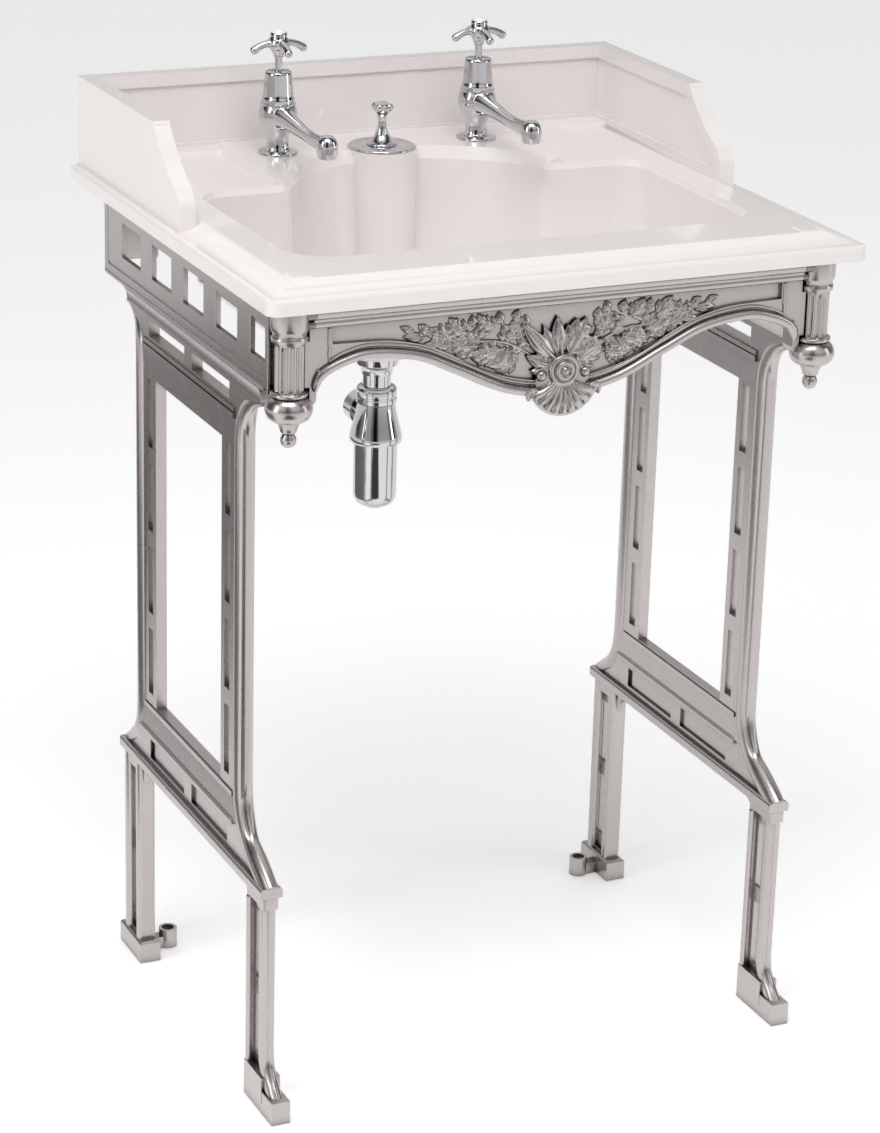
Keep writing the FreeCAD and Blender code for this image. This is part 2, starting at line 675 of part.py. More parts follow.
lug_x = FRAME_INNER - LUG_REACH
lug_y = (rear_start + REAR_LEG_END) / 2
lug = merged([
    drum(lug_x, lug_y, 0, LUG_HIGH, LUG_RADIUS),
    box((lug_x, FRAME_X - PLINTH_WIDTH / 2), (lug_y - 7, lug_y + 7), (0, 14)),
])
lug = lug.cut(drum(lug_x, lug_y, -1, LUG_HIGH + 1, LUG_HOLE))
lug = lug.cut(drum(lug_x, lug_y, LUG_HIGH - 4, LUG_HIGH + 1, LUG_HOLE * 2))
save(mirrored(lug), "floor_lug_left")
save(lug, "floor_lug_right")


# Apron: shaped panel with a sunken field, a rolled lower edge and end piers, a cornice above
# and a cast ornament


def apron_edge(offset):
    """Lower edge of the panel from left to right as arcs, raised by an offset."""
    drop = H - APRON_MIDDLE_DROP + offset
    crown = H - APRON_ARCH_DROP + offset
    end = PIER_INNER - 6
    wave = PIER_INNER * 0.782
    turn_x = wave * 0.546
    turn_z = drop + (crown - drop) * 0.547
    return [
        (-end, crown - 15),
        (-end + 22, crown - 5, -wave, crown),
        (-wave * 0.761, crown - 7.4, -turn_x, turn_z),
        (-turn_x * 0.518, drop + 8.2, 0, drop),
        (turn_x * 0.518, drop + 8.2, turn_x, turn_z),
        (wave * 0.761, crown - 7.4, wave, crown),
        (end - 22, crown - 5, end, crown - 15),
    ]


def apron_band(low, high, face, back):
    """Band of the panel between two offsets of its lower edge."""
    lower = apron_edge(low)
    upper = apron_edge(high)
    end = PIER_INNER
    points = [(-end, lower[0][1])] + lower + [(end, lower[-1][3]), (end, upper[-1][3])]
    back_line = []
    for k in range(len(upper) - 1, 0, -1):
        x, z = upper[k - 1][-2:]
        back_line.append((upper[k][0], upper[k][1], x, z))
    points = points + [upper[-1][2:]] + back_line + [(-end, upper[0][1])]
    return prism("XZ", face, back, points)


def make_apron():
    body = prism("XZ", APRON_FACE, APRON_BACK,
                 [(-PIER_INNER, H), (-PIER_INNER, apron_edge(0)[0][1] - 4)] + apron_edge(0)
                 + [(PIER_INNER, apron_edge(0)[0][1] - 4), (PIER_INNER, H)])
    inner = apron_edge(APRON_BORDER)
    field_end = PIER_INNER - APRON_BORDER
    panel = body.cut(prism("XZ", APRON_FACE - 1, APRON_FACE + APRON_FIELD_DEPTH, [
        (-field_end, H - 24), (-field_end, inner[1][3] + 1), inner[1][2:]] + inner[2:6]
        + [(field_end, inner[1][3] + 1), (field_end, H - 24)]))
    shell_room = box((-SHELL_HALF, SHELL_HALF), (APRON_FACE - 5, APRON_FACE),
                     (H - APRON_MIDDLE_DROP - 5, H - APRON_MIDDLE_DROP + 40))
    pieces = [panel]
    for low, high, proud in ((0, 8, 2.5), (1.5, 6.5, 4)):
        band = apron_band(low, high, APRON_FACE - proud, APRON_FACE + 1)
        pieces.append(band.cut(shell_room))
    for sign in (-1, 1):
        pier = box((sign * PIER_INNER, sign * FRAME_INNER), (APRON_FACE, APRON_FACE + PIER_DEPTH),
                   (H - PIER_HIGH, H))
        edges = [edge for edge in pier.Edges
                 if abs(edge.BoundBox.ZMax - H + PIER_HIGH) < 0.01 and edge.BoundBox.YLength > 1]
        edges = [edge for edge in edges
                 if abs(abs(edge.BoundBox.Center.x) - PIER_INNER) < 0.01]
        pieces.append(pier.makeFillet(8, edges))
    apron = merged(pieces)
    for sign in (-1, 1):
        apron = around_post(apron, sign)
    return apron


apron = make_apron()
save(apron, "apron_panel")

cornice_half = POST_X - CAPITAL_RADIUS - 1.5
cornice = prism("YZ", -cornice_half, cornice_half, [
    (APRON_FACE, H),
    (APRON_FACE - 9, H),
    (APRON_FACE - 8.5, H - 5, APRON_FACE - 4.5, H - 9),
    (APRON_FACE - 4.5, H - 11),
    (APRON_FACE - 6.5, H - 15.5, APRON_FACE - 1.5, H - 20),
    (APRON_FACE, H - 20),
])
save(cornice, "apron_cornice")


def make_ornament():
    """Rosette with leaves over a fluted shell, with flowers and leaves to both sides."""
    back = APRON_FACE

    def stud(x, z, radius, top, depth):
        return Part.makeCone(radius, top, depth, Vector(x, back, z), Vector(0, -1, 0))

    def ridge(x, z, angle, length, width, depth):
        """Leaf lying on the face with a raised middle line."""

        def at(distance, aside, height):
            return Vector(x + distance * cos(angle) - aside * sin(angle), back - height,
                          z + distance * sin(angle) + aside * cos(angle))

        rim = [at(0, 0, 0), at(length * 0.45, width / 2, 0), at(length, 0, 0),
               at(length * 0.45, -width / 2, 0)]
        low = [at(0, 0, -1), at(length * 0.45, width / 2, -1), at(length, 0, -1),
               at(length * 0.45, -width / 2, -1)]
        peak = at(length * 0.5, 0, depth)
        faces = []
        for k in range(4):
            n = (k + 1) % 4
            faces.append(Part.Face(Part.makePolygon([rim[k], rim[n], peak, rim[k]])))
            faces.append(Part.Face(Part.makePolygon([rim[k], rim[n], low[n], low[k], rim[k]])))
        faces.append(Part.Face(Part.makePolygon(low + [low[0]])))
        solid = Part.Solid(Part.Shell(faces))
        return solid if solid.Volume > 0 else solid.reversed()

    middle = H - APRON_MIDDLE_DROP + 27
    pieces = [stud(0, middle, 16, 14.5, 8)]
    for k in range(-2, 3):
        pieces.append(ridge(0, middle, pi / 2 + k * pi / 9, 37 - abs(k) * 4, 13, 7))
    for k in range(-3, 4):
        angle = -pi / 2 + k * pi / 9
        pieces.append(ridge(0, middle - 11, angle, 37 - abs(k) * 3, 15, 11))
    for sign in (-1, 1):
        pieces.append(stud(sign * 22, middle - 3, 5.5, 3.5, 8))
        pieces.append(stud(sign * 42, middle + 9, 11, 9, 5))
        base = pi / 2 - sign * pi / 2
        pieces.append(ridge(sign * 12, middle + 2, base + sign * 0.1, 42, 14, 5))
        pieces.append(ridge(sign * 46, middle + 9, base + sign * 0.35, 54, 13, 5))
        pieces.append(ridge(sign * 50, middle + 13, base + sign * 0.75, 28, 10, 4))
    ornament = merged(pieces)
    ring = stud(0, middle, 12, 13, 11).cut(stud(0, middle, 9, 8.5, 11))
    ornament = ornament.cut(ring.cut(box((-20, 20), (back - 6, back + 5),
                                         (middle - 20, middle + 20))))
    return ornament.common(box((-200, 200), (back - 30, back), (H - 200, H - 20)))


ornament = make_ornament()
save(ornament, "apron_ornament")


# Taps: hot on the left and cold on the right, made alike

TAP_Y = WALL - TAP_FROM_WALL
NOZZLE_Y = TAP_Y - SPOUT_REACH
DECK = PLATFORM_TOP
TAP_FOOT = DECK + TAP_FLANGE_THICK
COLLAR_TOP = TAP_FOOT + TAP_BODY_HIGH
COVER_START = COLLAR_TOP + TAP_COLLAR_HIGH
COVER_TOP = COVER_START + COVER_HIGH
HUB_START = COVER_TOP + HUB_GAP
HUB_TOP = HUB_START + HUB_HIGH
BACKNUT_TOP = RECESS_TOP - TAP_WASHER_THICK
TAIL_STEP = BACKNUT_TOP - BACKNUT_HIGH - 1


def along(start, end, points):
    """Solid turned about a slanted line, from points given as radius and distance."""
    solid = turned(0, 0, points)
    line = end - start
    solid.rotate(Vector(0, 0, 0), Vector(1, 0, 0), degrees(atan2(-line.y, line.z)))
    solid.translate(start)
    return solid


def make_tap(x):
    y = TAP_Y
    parts = {}
    bore = TAIL_RADIUS + THREAD_CLEARANCE
    parts["flange"] = turned(x, y, [
        (bore, DECK), (TAP_FLANGE_RADIUS, DECK), (TAP_FLANGE_RADIUS, DECK + 1),
        (TAP_FLANGE_RADIUS - 1.8, DECK + 2.2), (TAP_FLANGE_RADIUS - 6, TAP_FOOT),
        (bore, TAP_FOOT)])
    cup = COLLAR_TOP - 14
    body = turned(x, y, [
        (0, TAP_FOOT), (TAP_NECK_RADIUS + 3, TAP_FOOT), (TAP_NECK_RADIUS + 0.6, TAP_FOOT + 5),
        (TAP_NECK_RADIUS, TAP_FOOT + 12), (TAP_NECK_RADIUS + 1.2, TAP_FOOT + 21),
        (TAP_CUP_RADIUS - 2, cup - 8), (TAP_CUP_RADIUS, cup), (TAP_CUP_RADIUS - 0.4, cup + 5),
        (TAP_CUP_RADIUS - 2.5, COLLAR_TOP - 3), (TAP_CUP_RADIUS - 2.5, COLLAR_TOP),
        (0, COLLAR_TOP)])
    start = Vector(x, y - 4, cup + 2)
    end = Vector(x, NOZZLE_Y, DECK + NOZZLE_HIGH + 11.5)
    long = (end - start).Length
    spout = along(start, end, [
        (0, 0), (NOZZLE_RADIUS - 0.6, 0), (NOZZLE_RADIUS - 2, long * 0.12),
        (NOZZLE_RADIUS - 3.8, long * 0.42), (NOZZLE_RADIUS - 4.8, long * 0.66),
        (NOZZLE_RADIUS - 4.2, long * 0.86), (NOZZLE_RADIUS - 2.6, long), (0, long)])
    tip = DECK + NOZZLE_HIGH - 1
    nozzle = turned(x, NOZZLE_Y, [
        (0, tip), (NOZZLE_RADIUS - 1.6, tip), (NOZZLE_RADIUS, tip + 8),
        (NOZZLE_RADIUS - 0.4, tip + 15), (NOZZLE_RADIUS - 2.8, tip + 21),
        (NOZZLE_RADIUS - 6.5, tip + 24), (0, tip + 25)])
    tail = turned(x, y, [
        (0, TAIL_STEP - TAIL_END_LONG), (TAIL_END_RADIUS, TAIL_STEP - TAIL_END_LONG),
        (TAIL_END_RADIUS, TAIL_STEP), (TAIL_RADIUS, TAIL_STEP), (TAIL_RADIUS, TAP_FOOT + 2),
        (0, TAP_FOOT + 2)])
    body = merged([body, spout, nozzle, tail])
    seat = cup - 8
    body = body.cut(drum(x, y, seat, COLLAR_TOP + 1, 12))
    body = body.cut(drum(x, y, TAIL_STEP - TAIL_END_LONG - 1, seat + 1, 6.5))
    line = end - start
    body = body.cut(Part.makeCylinder(4.2, line.Length, start, line))
    body = body.cut(drum(x, NOZZLE_Y, tip - 1, tip + 14, 6.5))
    parts["body"] = body
    parts["washer"] = drum(x, y, BACKNUT_TOP, RECESS_TOP, TAIL_RADIUS + 8.6).cut(
        drum(x, y, BACKNUT_TOP - 1, RECESS_TOP + 1, bore))
    parts["backnut"] = hexagon(x, y, BACKNUT_TOP - BACKNUT_HIGH, BACKNUT_TOP, BACKNUT_ACROSS,
                               bore)
    slide = SPINDLE_RADIUS + SHAFT_CLEARANCE
    valve_top = COVER_START + 16
    parts["valve"] = turned(x, y, [
        (slide, seat + 1), (11.9, seat + 1), (11.9, COLLAR_TOP), (COVER_RADIUS - 0.6, COLLAR_TOP),
        (COVER_RADIUS - 0.6, COVER_START), (11, COVER_START), (11, valve_top),
        (slide, valve_top)])
    parts["cover"] = turned(x, y, [
        (11 + THREAD_CLEARANCE, COVER_START), (COVER_RADIUS, COVER_START),
        (COVER_RADIUS, COVER_START + 2), (COVER_RADIUS - 1.6, COVER_START + 5),
        (COVER_RADIUS - 3.4, COVER_TOP - 2), (COVER_RADIUS - 5.4, COVER_TOP),
        (SPINDLE_RADIUS + 0.4, COVER_TOP), (SPINDLE_RADIUS + 0.4, COVER_TOP - 3),
        (11 + THREAD_CLEARANCE, COVER_TOP - 4)])
    spindle_top = HUB_TOP - 9
    parts["spindle"] = drum(x, y, seat + 3, spindle_top, SPINDLE_RADIUS)
    hub = turned(x, y, [
        (0, HUB_START), (HUB_RADIUS - 5, HUB_START), (HUB_RADIUS - 3.5, HUB_START + 6),
        (HUB_RADIUS - 0.4, HUB_START + 12), (HUB_RADIUS, HUB_START + 17),
        (HUB_RADIUS - 1, HUB_START + 21), (HUB_RADIUS - 2.2, HUB_TOP), (0, HUB_TOP)])
    arms = [hub]
    tip_reach = ARM_REACH - ARM_TIP_RADIUS
    for k in range(4):
        angle = k * pi / 2
        out = Vector(cos(angle), sin(angle), 0)
        root = Vector(x, y, HUB_START + 14.5) + out * 6
        end = Vector(x, y, HUB_START + 9) + out * tip_reach
        line = end - root
        arms.append(Part.makeCone(ARM_TIP_RADIUS + 0.3, ARM_TIP_RADIUS - 0.8, line.Length, root,
                                  line))
        arms.append(Part.makeSphere(ARM_TIP_RADIUS, end))
    handle = merged(arms)
    parts["handle"] = handle.cut(drum(x, y, HUB_START - 1, spindle_top,
                                      SPINDLE_RADIUS + PRESS_CLEARANCE))
    parts["index"] = turned(x, y, [
        (0, HUB_TOP), (INDEX_RADIUS, HUB_TOP), (INDEX_RADIUS, HUB_TOP + 1),
        (INDEX_RADIUS - 2, HUB_TOP + INDEX_HIGH - 1.6), (2, HUB_TOP + INDEX_HIGH),
        (0, HUB_TOP + INDEX_HIGH)])
    return parts


for side, x in (("hot", -TAP_SPACING / 2), ("cold", TAP_SPACING / 2)):
    for name, shape in make_tap(x).items():
        save(shape, side + "_" + name)


# Waste: lifting knob, rod and standpipe in the half-column, and the outlet under it

slide = LIFT_ROD_RADIUS + SHAFT_CLEARANCE
knob_foot = DECK + PLATE_THICK
plate = turned(0, WASTE_Y, [
    (slide, DECK), (PLATE_RADIUS, DECK), (PLATE_RADIUS, DECK + 1.5),
    (PLATE_RADIUS - 3, knob_foot), (slide, knob_foot)])
save(plate, "waste_plate")

knob_top = knob_foot + KNOB_HIGH
knob = turned(0, WASTE_Y, [
    (0, knob_foot), (KNOB_FOOT_RADIUS, knob_foot), (KNOB_FOOT_RADIUS, knob_foot + 1.5),
    (KNOB_FOOT_RADIUS - 6, knob_foot + 7), (5.6, knob_foot + 16), (4.6, knob_foot + 22),
    (5.4, knob_top - 17), (8.5, knob_top - 11), (10, knob_top - 6), (6, knob_top - 1),
    (0, knob_top)])
for k in range(4):
    angle = pi / 4 + k * pi / 2
    knob = knob.fuse(Part.makeSphere(5.2, Vector(7.4 * cos(angle), WASTE_Y + 7.4 * sin(angle),
                                                 knob_top - 6)))
knob = knob.removeSplitter()
knob = knob.cut(drum(0, WASTE_Y, knob_foot - 1, knob_foot + 15,
                     LIFT_ROD_RADIUS + PRESS_CLEARANCE))
save(knob, "waste_knob")

standpipe_top = DECK - STANDPIPE_DROP
spider_top = standpipe_top - 6
save(drum(0, WASTE_Y, spider_top, knob_foot + 15, LIFT_ROD_RADIUS), "waste_rod")

seal_low = CHAMBER_FLOOR + OUTLET_FLANGE_THICK
seal_top = seal_low + SEAL_THICK
standpipe_bore = STANDPIPE_RADIUS - STANDPIPE_WALL
tube = turned(0, WASTE_Y, [
    (standpipe_bore, seal_top), (STANDPIPE_RADIUS, seal_top),
    (STANDPIPE_RADIUS, standpipe_top), (standpipe_bore, standpipe_top)])
spider = box((-standpipe_bore - 1, standpipe_bore + 1), (WASTE_Y - 2, WASTE_Y + 2),
             (spider_top - 12, spider_top))
spider = spider.fuse(drum(0, WASTE_Y, spider_top - 12, spider_top, LIFT_ROD_RADIUS + 1.5))
save(merged([tube, spider]), "waste_standpipe")

seal = turned(0, WASTE_Y, [
    (standpipe_bore, seal_low), (PIPE_RADIUS + 1.5, seal_low), (PIPE_RADIUS + 2.5, seal_top),
    (standpipe_bore, seal_top)])
save(seal, "waste_seal")

head_top = UNDERSIDE - TRAP_DROP
pipe_end = head_top - 4
pipe_bore = PIPE_RADIUS - PIPE_WALL
pipe_room = PIPE_RADIUS + THREAD_CLEARANCE
save(turned(0, WASTE_Y, [
    (pipe_bore, pipe_end), (PIPE_RADIUS, pipe_end), (PIPE_RADIUS, CHAMBER_FLOOR),
    (OUTLET_FLANGE_RADIUS, CHAMBER_FLOOR), (OUTLET_FLANGE_RADIUS, seal_low),
    (pipe_bore, seal_low)]), "waste_outlet")
washer_low = UNDERSIDE - 3
save(turned(0, WASTE_Y, [
    (pipe_room, washer_low), (FLARE_RADIUS + 3, washer_low), (FLARE_RADIUS + 3, UNDERSIDE),
    (pipe_room, UNDERSIDE)]), "waste_washer")
save(turned(0, WASTE_Y, [
    (pipe_room, washer_low - FLARE_HIGH), (PIPE_RADIUS + 1.8, washer_low - FLARE_HIGH),
    (PIPE_RADIUS + 2.6, washer_low - FLARE_HIGH + 6), (FLARE_RADIUS - 2.5, washer_low - 3.2),
    (FLARE_RADIUS, washer_low - 1.5), (FLARE_RADIUS, washer_low), (pipe_room, washer_low)]),
     "waste_backnut")


# Bottle trap

joint = head_top - HEAD_HIGH
bottle_low = joint - BOTTLE_HIGH
outlet_z = head_top - OUTLET_RADIUS - 1
outlet_end = WASTE_Y + OUTLET_REACH
neck_top = head_top + NECK_HIGH
neck_room = NECK_RADIUS + THREAD_CLEARANCE
save(turned(0, WASTE_Y, [
    (neck_room, head_top + 0.5), (TRAP_NUT_RADIUS, head_top + 0.5),
    (TRAP_NUT_RADIUS, neck_top + 4), (TRAP_NUT_RADIUS - 3, neck_top + 7),
    (pipe_room, neck_top + 7), (pipe_room, neck_top + 1), (neck_room, neck_top + 1)]),
     "trap_inlet_nut")

inside = BOTTLE_RADIUS + 0.2
hollow = [(0, joint - 12), (inside, joint - 12), (inside, joint + 9), (inside - 2, joint + 11),
          (NECK_RADIUS + 0.5, head_top - 12), (0, head_top - 12)]
head = turned(0, WASTE_Y, [
    (0, joint), (HEAD_RADIUS, joint), (HEAD_RADIUS, joint + 4),
    (NECK_RADIUS + 2.3, head_top), (NECK_RADIUS, head_top), (NECK_RADIUS, neck_top),
    (0, neck_top)])
head = head.fuse(Part.makeCylinder(OUTLET_RADIUS, OUTLET_REACH - 12,
                                   Vector(0, WASTE_Y, outlet_z), Vector(0, 1, 0)))
head = head.cut(turned(0, WASTE_Y, hollow))
head = head.cut(drum(0, WASTE_Y, pipe_end - 1, neck_top + 6, pipe_room))
head = head.cut(drum(0, WASTE_Y, head_top - 21, neck_top + 6, DIP_RADIUS + THREAD_CLEARANCE))
head = head.cut(Part.makeCylinder(OUTLET_RADIUS - 3.5, OUTLET_REACH,
                                  Vector(0, WASTE_Y + DIP_RADIUS + 1.5, outlet_z),
                                  Vector(0, 1, 0)))
save(head.removeSplitter(), "trap_head")

save(turned(0, WASTE_Y, [
    (DIP_RADIUS - 1.5, bottle_low + 25), (DIP_RADIUS, bottle_low + 25),
    (DIP_RADIUS, pipe_end - 1), (PIPE_RADIUS - 0.4, pipe_end - 1), (PIPE_RADIUS - 0.4, pipe_end),
    (DIP_RADIUS - 1.5, pipe_end)]), "trap_dip_tube")

rim_z = joint + 7.5
bottle_bore = BOTTLE_RADIUS - BOTTLE_WALL
save(turned(0, WASTE_Y, [
    (0, bottle_low), (10, bottle_low), (10, bottle_low + 1.5), (17.5, bottle_low + 3.4),
    (22.6, bottle_low + 7), (BOTTLE_RADIUS, bottle_low + 12), (BOTTLE_RADIUS, rim_z),
    (bottle_bore, rim_z), (bottle_bore, bottle_low + 14), (0, bottle_low + 6)]), "trap_bottle")
save(turned(0, WASTE_Y, [
    (bottle_bore + 0.1, rim_z), (BOTTLE_RADIUS, rim_z), (BOTTLE_RADIUS, rim_z + 1.5),
    (bottle_bore + 0.1, rim_z + 1.5)]), "trap_seal")


def outlet_ring(points):
    """Ring turned about the outlet axis from points given as radius and depth."""
    face = Part.Face(outline("XY", 0, points))
    ring = face.revolve(Vector(0, 0, 0), Vector(0, 1, 0), 360)
    ring.translate(Vector(0, 0, outlet_z))
    return ring


nut_bore = OUTLET_RADIUS + SHAFT_CLEARANCE
nut_start = outlet_end - OUTLET_NUT_LONG
save(outlet_ring([
    (nut_bore, nut_start), (OUTLET_RADIUS + 3, nut_start), (OUTLET_RADIUS + 3, outlet_end),
    (pipe_room, outlet_end), (pipe_room, outlet_end - 9), (nut_bore, outlet_end - 9)]),
     "trap_outlet_nut")
save(outlet_ring([
    (OUTLET_RADIUS - 2.5, outlet_end - 12), (OUTLET_RADIUS, outlet_end - 12),
    (OUTLET_RADIUS, outlet_end - 9.2), (OUTLET_RADIUS - 2.5, outlet_end - 9.2)]),
     "trap_outlet_seal")
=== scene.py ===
import json
from math import cos, pi, radians, sin

import bpy
from mathutils import Matrix, Vector


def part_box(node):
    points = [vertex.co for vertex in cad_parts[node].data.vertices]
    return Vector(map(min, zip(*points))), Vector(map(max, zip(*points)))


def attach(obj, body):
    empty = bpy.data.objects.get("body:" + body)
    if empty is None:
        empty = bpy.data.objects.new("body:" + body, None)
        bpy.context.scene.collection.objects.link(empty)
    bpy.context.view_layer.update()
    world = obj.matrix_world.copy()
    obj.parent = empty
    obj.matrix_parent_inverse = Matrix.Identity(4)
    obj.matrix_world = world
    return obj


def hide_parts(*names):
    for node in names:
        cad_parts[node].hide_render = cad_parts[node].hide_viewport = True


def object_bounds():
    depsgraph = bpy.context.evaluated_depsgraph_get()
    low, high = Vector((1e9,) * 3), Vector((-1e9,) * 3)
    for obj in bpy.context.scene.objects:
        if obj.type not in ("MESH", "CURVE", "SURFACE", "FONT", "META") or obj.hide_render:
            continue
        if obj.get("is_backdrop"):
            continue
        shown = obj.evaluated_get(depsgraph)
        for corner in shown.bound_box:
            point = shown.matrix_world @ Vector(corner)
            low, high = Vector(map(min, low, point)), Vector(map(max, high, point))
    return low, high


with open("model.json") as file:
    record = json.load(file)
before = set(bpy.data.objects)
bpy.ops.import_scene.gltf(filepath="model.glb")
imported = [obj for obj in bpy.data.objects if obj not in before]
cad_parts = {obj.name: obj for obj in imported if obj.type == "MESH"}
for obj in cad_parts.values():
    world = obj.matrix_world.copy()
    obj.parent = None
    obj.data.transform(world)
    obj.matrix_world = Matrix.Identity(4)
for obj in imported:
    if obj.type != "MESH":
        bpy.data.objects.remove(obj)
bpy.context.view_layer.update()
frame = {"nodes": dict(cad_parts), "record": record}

# Camera: it stands in front and to the left and looks down at the basin, as the photograph
# does. The lens is long, so upright edges stay nearly upright.
CAMERA_PLACE = (-1.4395, -3.0731, 1.7283)
CAMERA_TURN = radians(24.98)
CAMERA_DOWN = radians(20.16)
CAMERA_ROLL = radians(1.62)
ahead = Vector((sin(CAMERA_TURN), cos(CAMERA_TURN), 0))
right = Vector((cos(CAMERA_TURN), -sin(CAMERA_TURN), 0))
up = Vector((0, 0, 1))
look = cos(CAMERA_DOWN) * ahead - sin(CAMERA_DOWN) * up
lift = sin(CAMERA_DOWN) * ahead + cos(CAMERA_DOWN) * up
side = cos(CAMERA_ROLL) * right + sin(CAMERA_ROLL) * lift
top = cos(CAMERA_ROLL) * lift - sin(CAMERA_ROLL) * right
turn = Matrix((side, top, -look)).transposed()
bpy.ops.object.camera_add(location=CAMERA_PLACE, rotation=turn.to_euler())
camera = bpy.context.object
camera.data.lens = 106.04
camera.data.sensor_width = 36
camera.data.clip_start = 0.05
bpy.context.scene.camera = camera
bpy.context.scene.view_settings.view_transform = "Standard"


# Floor and lights: a white studio floor that runs out of sight, a broad soft light from above
# and the front, and a weaker one from each side. Cards on the floor give the metal its contrast.
def linear(code):
    """Linear colour from an sRGB hex value."""
    channels = [int(code[k:k + 2], 16) / 255 for k in (0, 2, 4)]
    values = [c / 12.92 if c <= 0.04045 else ((c + 0.055) / 1.055) ** 2.4 for c in channels]
    return (*values, 1.0)


def node(tree, kind, settings=(), **links):
    """Adds a node, sets its properties and sockets, and links its inputs by socket name."""
    new = tree.nodes.new(kind)
    for key, value in dict(settings).items():
        if isinstance(key, str) and hasattr(new, key):
            setattr(new, key, value)
        else:
            new.inputs[key].default_value = value
    for name, source in links.items():
        tree.links.new(source, new.inputs[name.replace("_", " ")])
    return new


def surface(name):
    """Empty material with its shader: returns the material, its node tree and the shader."""
    material = bpy.data.materials.new(name)
    material.use_nodes = True
    shader = material.node_tree.nodes["Principled BSDF"]
    return material, material.node_tree, shader


bpy.ops.mesh.primitive_plane_add(size=60, location=(0, 0, -0.0005))
floor = bpy.context.object
floor.name = "studio_floor"
floor_paint, tree, shader = surface("white_studio_paper")
shader.inputs["Base Color"].default_value = linear("ffffff")
shader.inputs["Roughness"].default_value = 0.9
shader.inputs["Specular IOR Level"].default_value = 0.1
shader.inputs["Emission Color"].default_value = linear("ffffff")
shader.inputs["Emission Strength"].default_value = 0.3
floor.data.materials.append(floor_paint)
floor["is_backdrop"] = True

# A dark card lies in front on the left and a grey one behind on the left. Only the metal's
# reflections show them: they cast no shadow and the camera doesn't see them.
for name, place, size, turn, shade in (
        ("studio_card_front", (-0.86, -1.82, 0.001), (0.9, 2.3), -CAMERA_TURN, "353331"),
        ("studio_card_back", (-1.35, 1.3, 0.001), (1.3, 2.6), 0.0, "7d7977")):
    bpy.ops.mesh.primitive_plane_add(size=1, location=place)
    card = bpy.context.object
    card.name = name
    card.scale = (size[0], size[1], 1)
    card.rotation_euler = (0, 0, turn)
    bpy.ops.object.transform_apply(location=True, rotation=True, scale=True)
    paint, tree, shader = surface(name + "_paint")
    shader.inputs["Base Color"].default_value = linear(shade)
    shader.inputs["Roughness"].default_value = 0.9
    card.data.materials.append(paint)
    card.visible_camera = card.visible_diffuse = card.visible_shadow = False
    card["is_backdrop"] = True

# The room round the stage: light above, a greyer band low down and a few dark upright bands.
world = bpy.data.worlds.new("white_studio")
world.use_nodes = True
bpy.context.scene.world = world
tree = world.node_tree
background = tree.nodes["Background"]
background.inputs["Strength"].default_value = 0.85
where = node(tree, "ShaderNodeTexCoord")
split = node(tree, "ShaderNodeSeparateXYZ", Vector=where.outputs["Generated"])


def banded(factor, *stops):
    """Colour ramp with soft steps between grey values."""
    ramp = node(tree, "ShaderNodeValToRGB", Fac=factor)
    ramp.color_ramp.interpolation = "EASE"
    ramp.color_ramp.elements[0].position, ramp.color_ramp.elements[1].position = 0.0, 1.0
    ramp.color_ramp.elements[0].color = linear(stops[0])
    ramp.color_ramp.elements[1].color = linear(stops[1])
    for place, code in stops[2:]:
        stop = ramp.color_ramp.elements.new(place)
        stop.color = linear(code)
    return ramp


walls = banded(split.outputs["Z"], "d8d8d8", "ffffff", (0.1, "c4c4c4"), (0.25, "a8a8a8"),
               (0.42, "f0f0f0"), (0.6, "ffffff"))
round_about = node(tree, "ShaderNodeTexGradient", {"gradient_type": "RADIAL"},
                   Vector=where.outputs["Generated"])
flags = banded(round_about.outputs["Fac"], "c8c8c8", "c8c8c8", (0.06, "ffffff"),
               (0.12, "f4f4f4"), (0.165, "1c1c1c"), (0.195, "1c1c1c"), (0.235, "ffffff"),
               (0.33, "ffffff"), (0.42, "4a4a4a"), (0.48, "4a4a4a"), (0.55, "eeeeee"),
               (0.8, "ffffff"), (0.88, "565656"), (0.93, "565656"))
both = node(tree, "ShaderNodeMix", {"data_type": "RGBA", "blend_type": "MULTIPLY"})
both.inputs[0].default_value = 1.0
tree.links.new(walls.outputs["Color"], both.inputs[6])
tree.links.new(flags.outputs["Color"], both.inputs[7])
tree.links.new(both.outputs[2], background.inputs["Color"])

for name, place, aim, width, height, power in (
        ("soft_light_above", (-0.6, -1.0, 3.0), (0, 0, 0.6), 1.8, 1.0, 33),
        ("soft_light_left", (-3.0, -0.4, 1.7), (0, 0, 0.6), 0.7, 2.2, 18),
        ("soft_light_right", (2.8, -1.6, 1.5), (0, 0, 0.6), 0.5, 2.2, 12)):
    bpy.ops.object.light_add(type="AREA", location=place)
    lamp = bpy.context.object
    lamp.name = name
    lamp.data.shape = "RECTANGLE"
    lamp.data.size = width
    lamp.data.size_y = height
    lamp.data.energy = power
    lamp.rotation_euler = (Vector(aim) - Vector(place)).to_track_quat("-Z", "Y").to_euler()


# Basin: one casting of white vitreous china with its upstands, platform, bowl and half-column.
# It is slip cast, glazed all over and fired, so every edge is softly rounded under the glaze.
MM = 0.001


def lone(piece):
    """Makes one piece the only selected and active one."""
    bpy.ops.object.select_all(action="DESELECT")
    piece.select_set(True)
    bpy.context.view_layer.objects.active = piece


def apply(piece, kind, settings):
    """Adds a modifier with its settings and applies it."""
    lone(piece)
    step = piece.modifiers.new("step", kind)
    for key, value in settings.items():
        setattr(step, key, value)
    bpy.ops.object.modifier_apply(modifier=step.name)


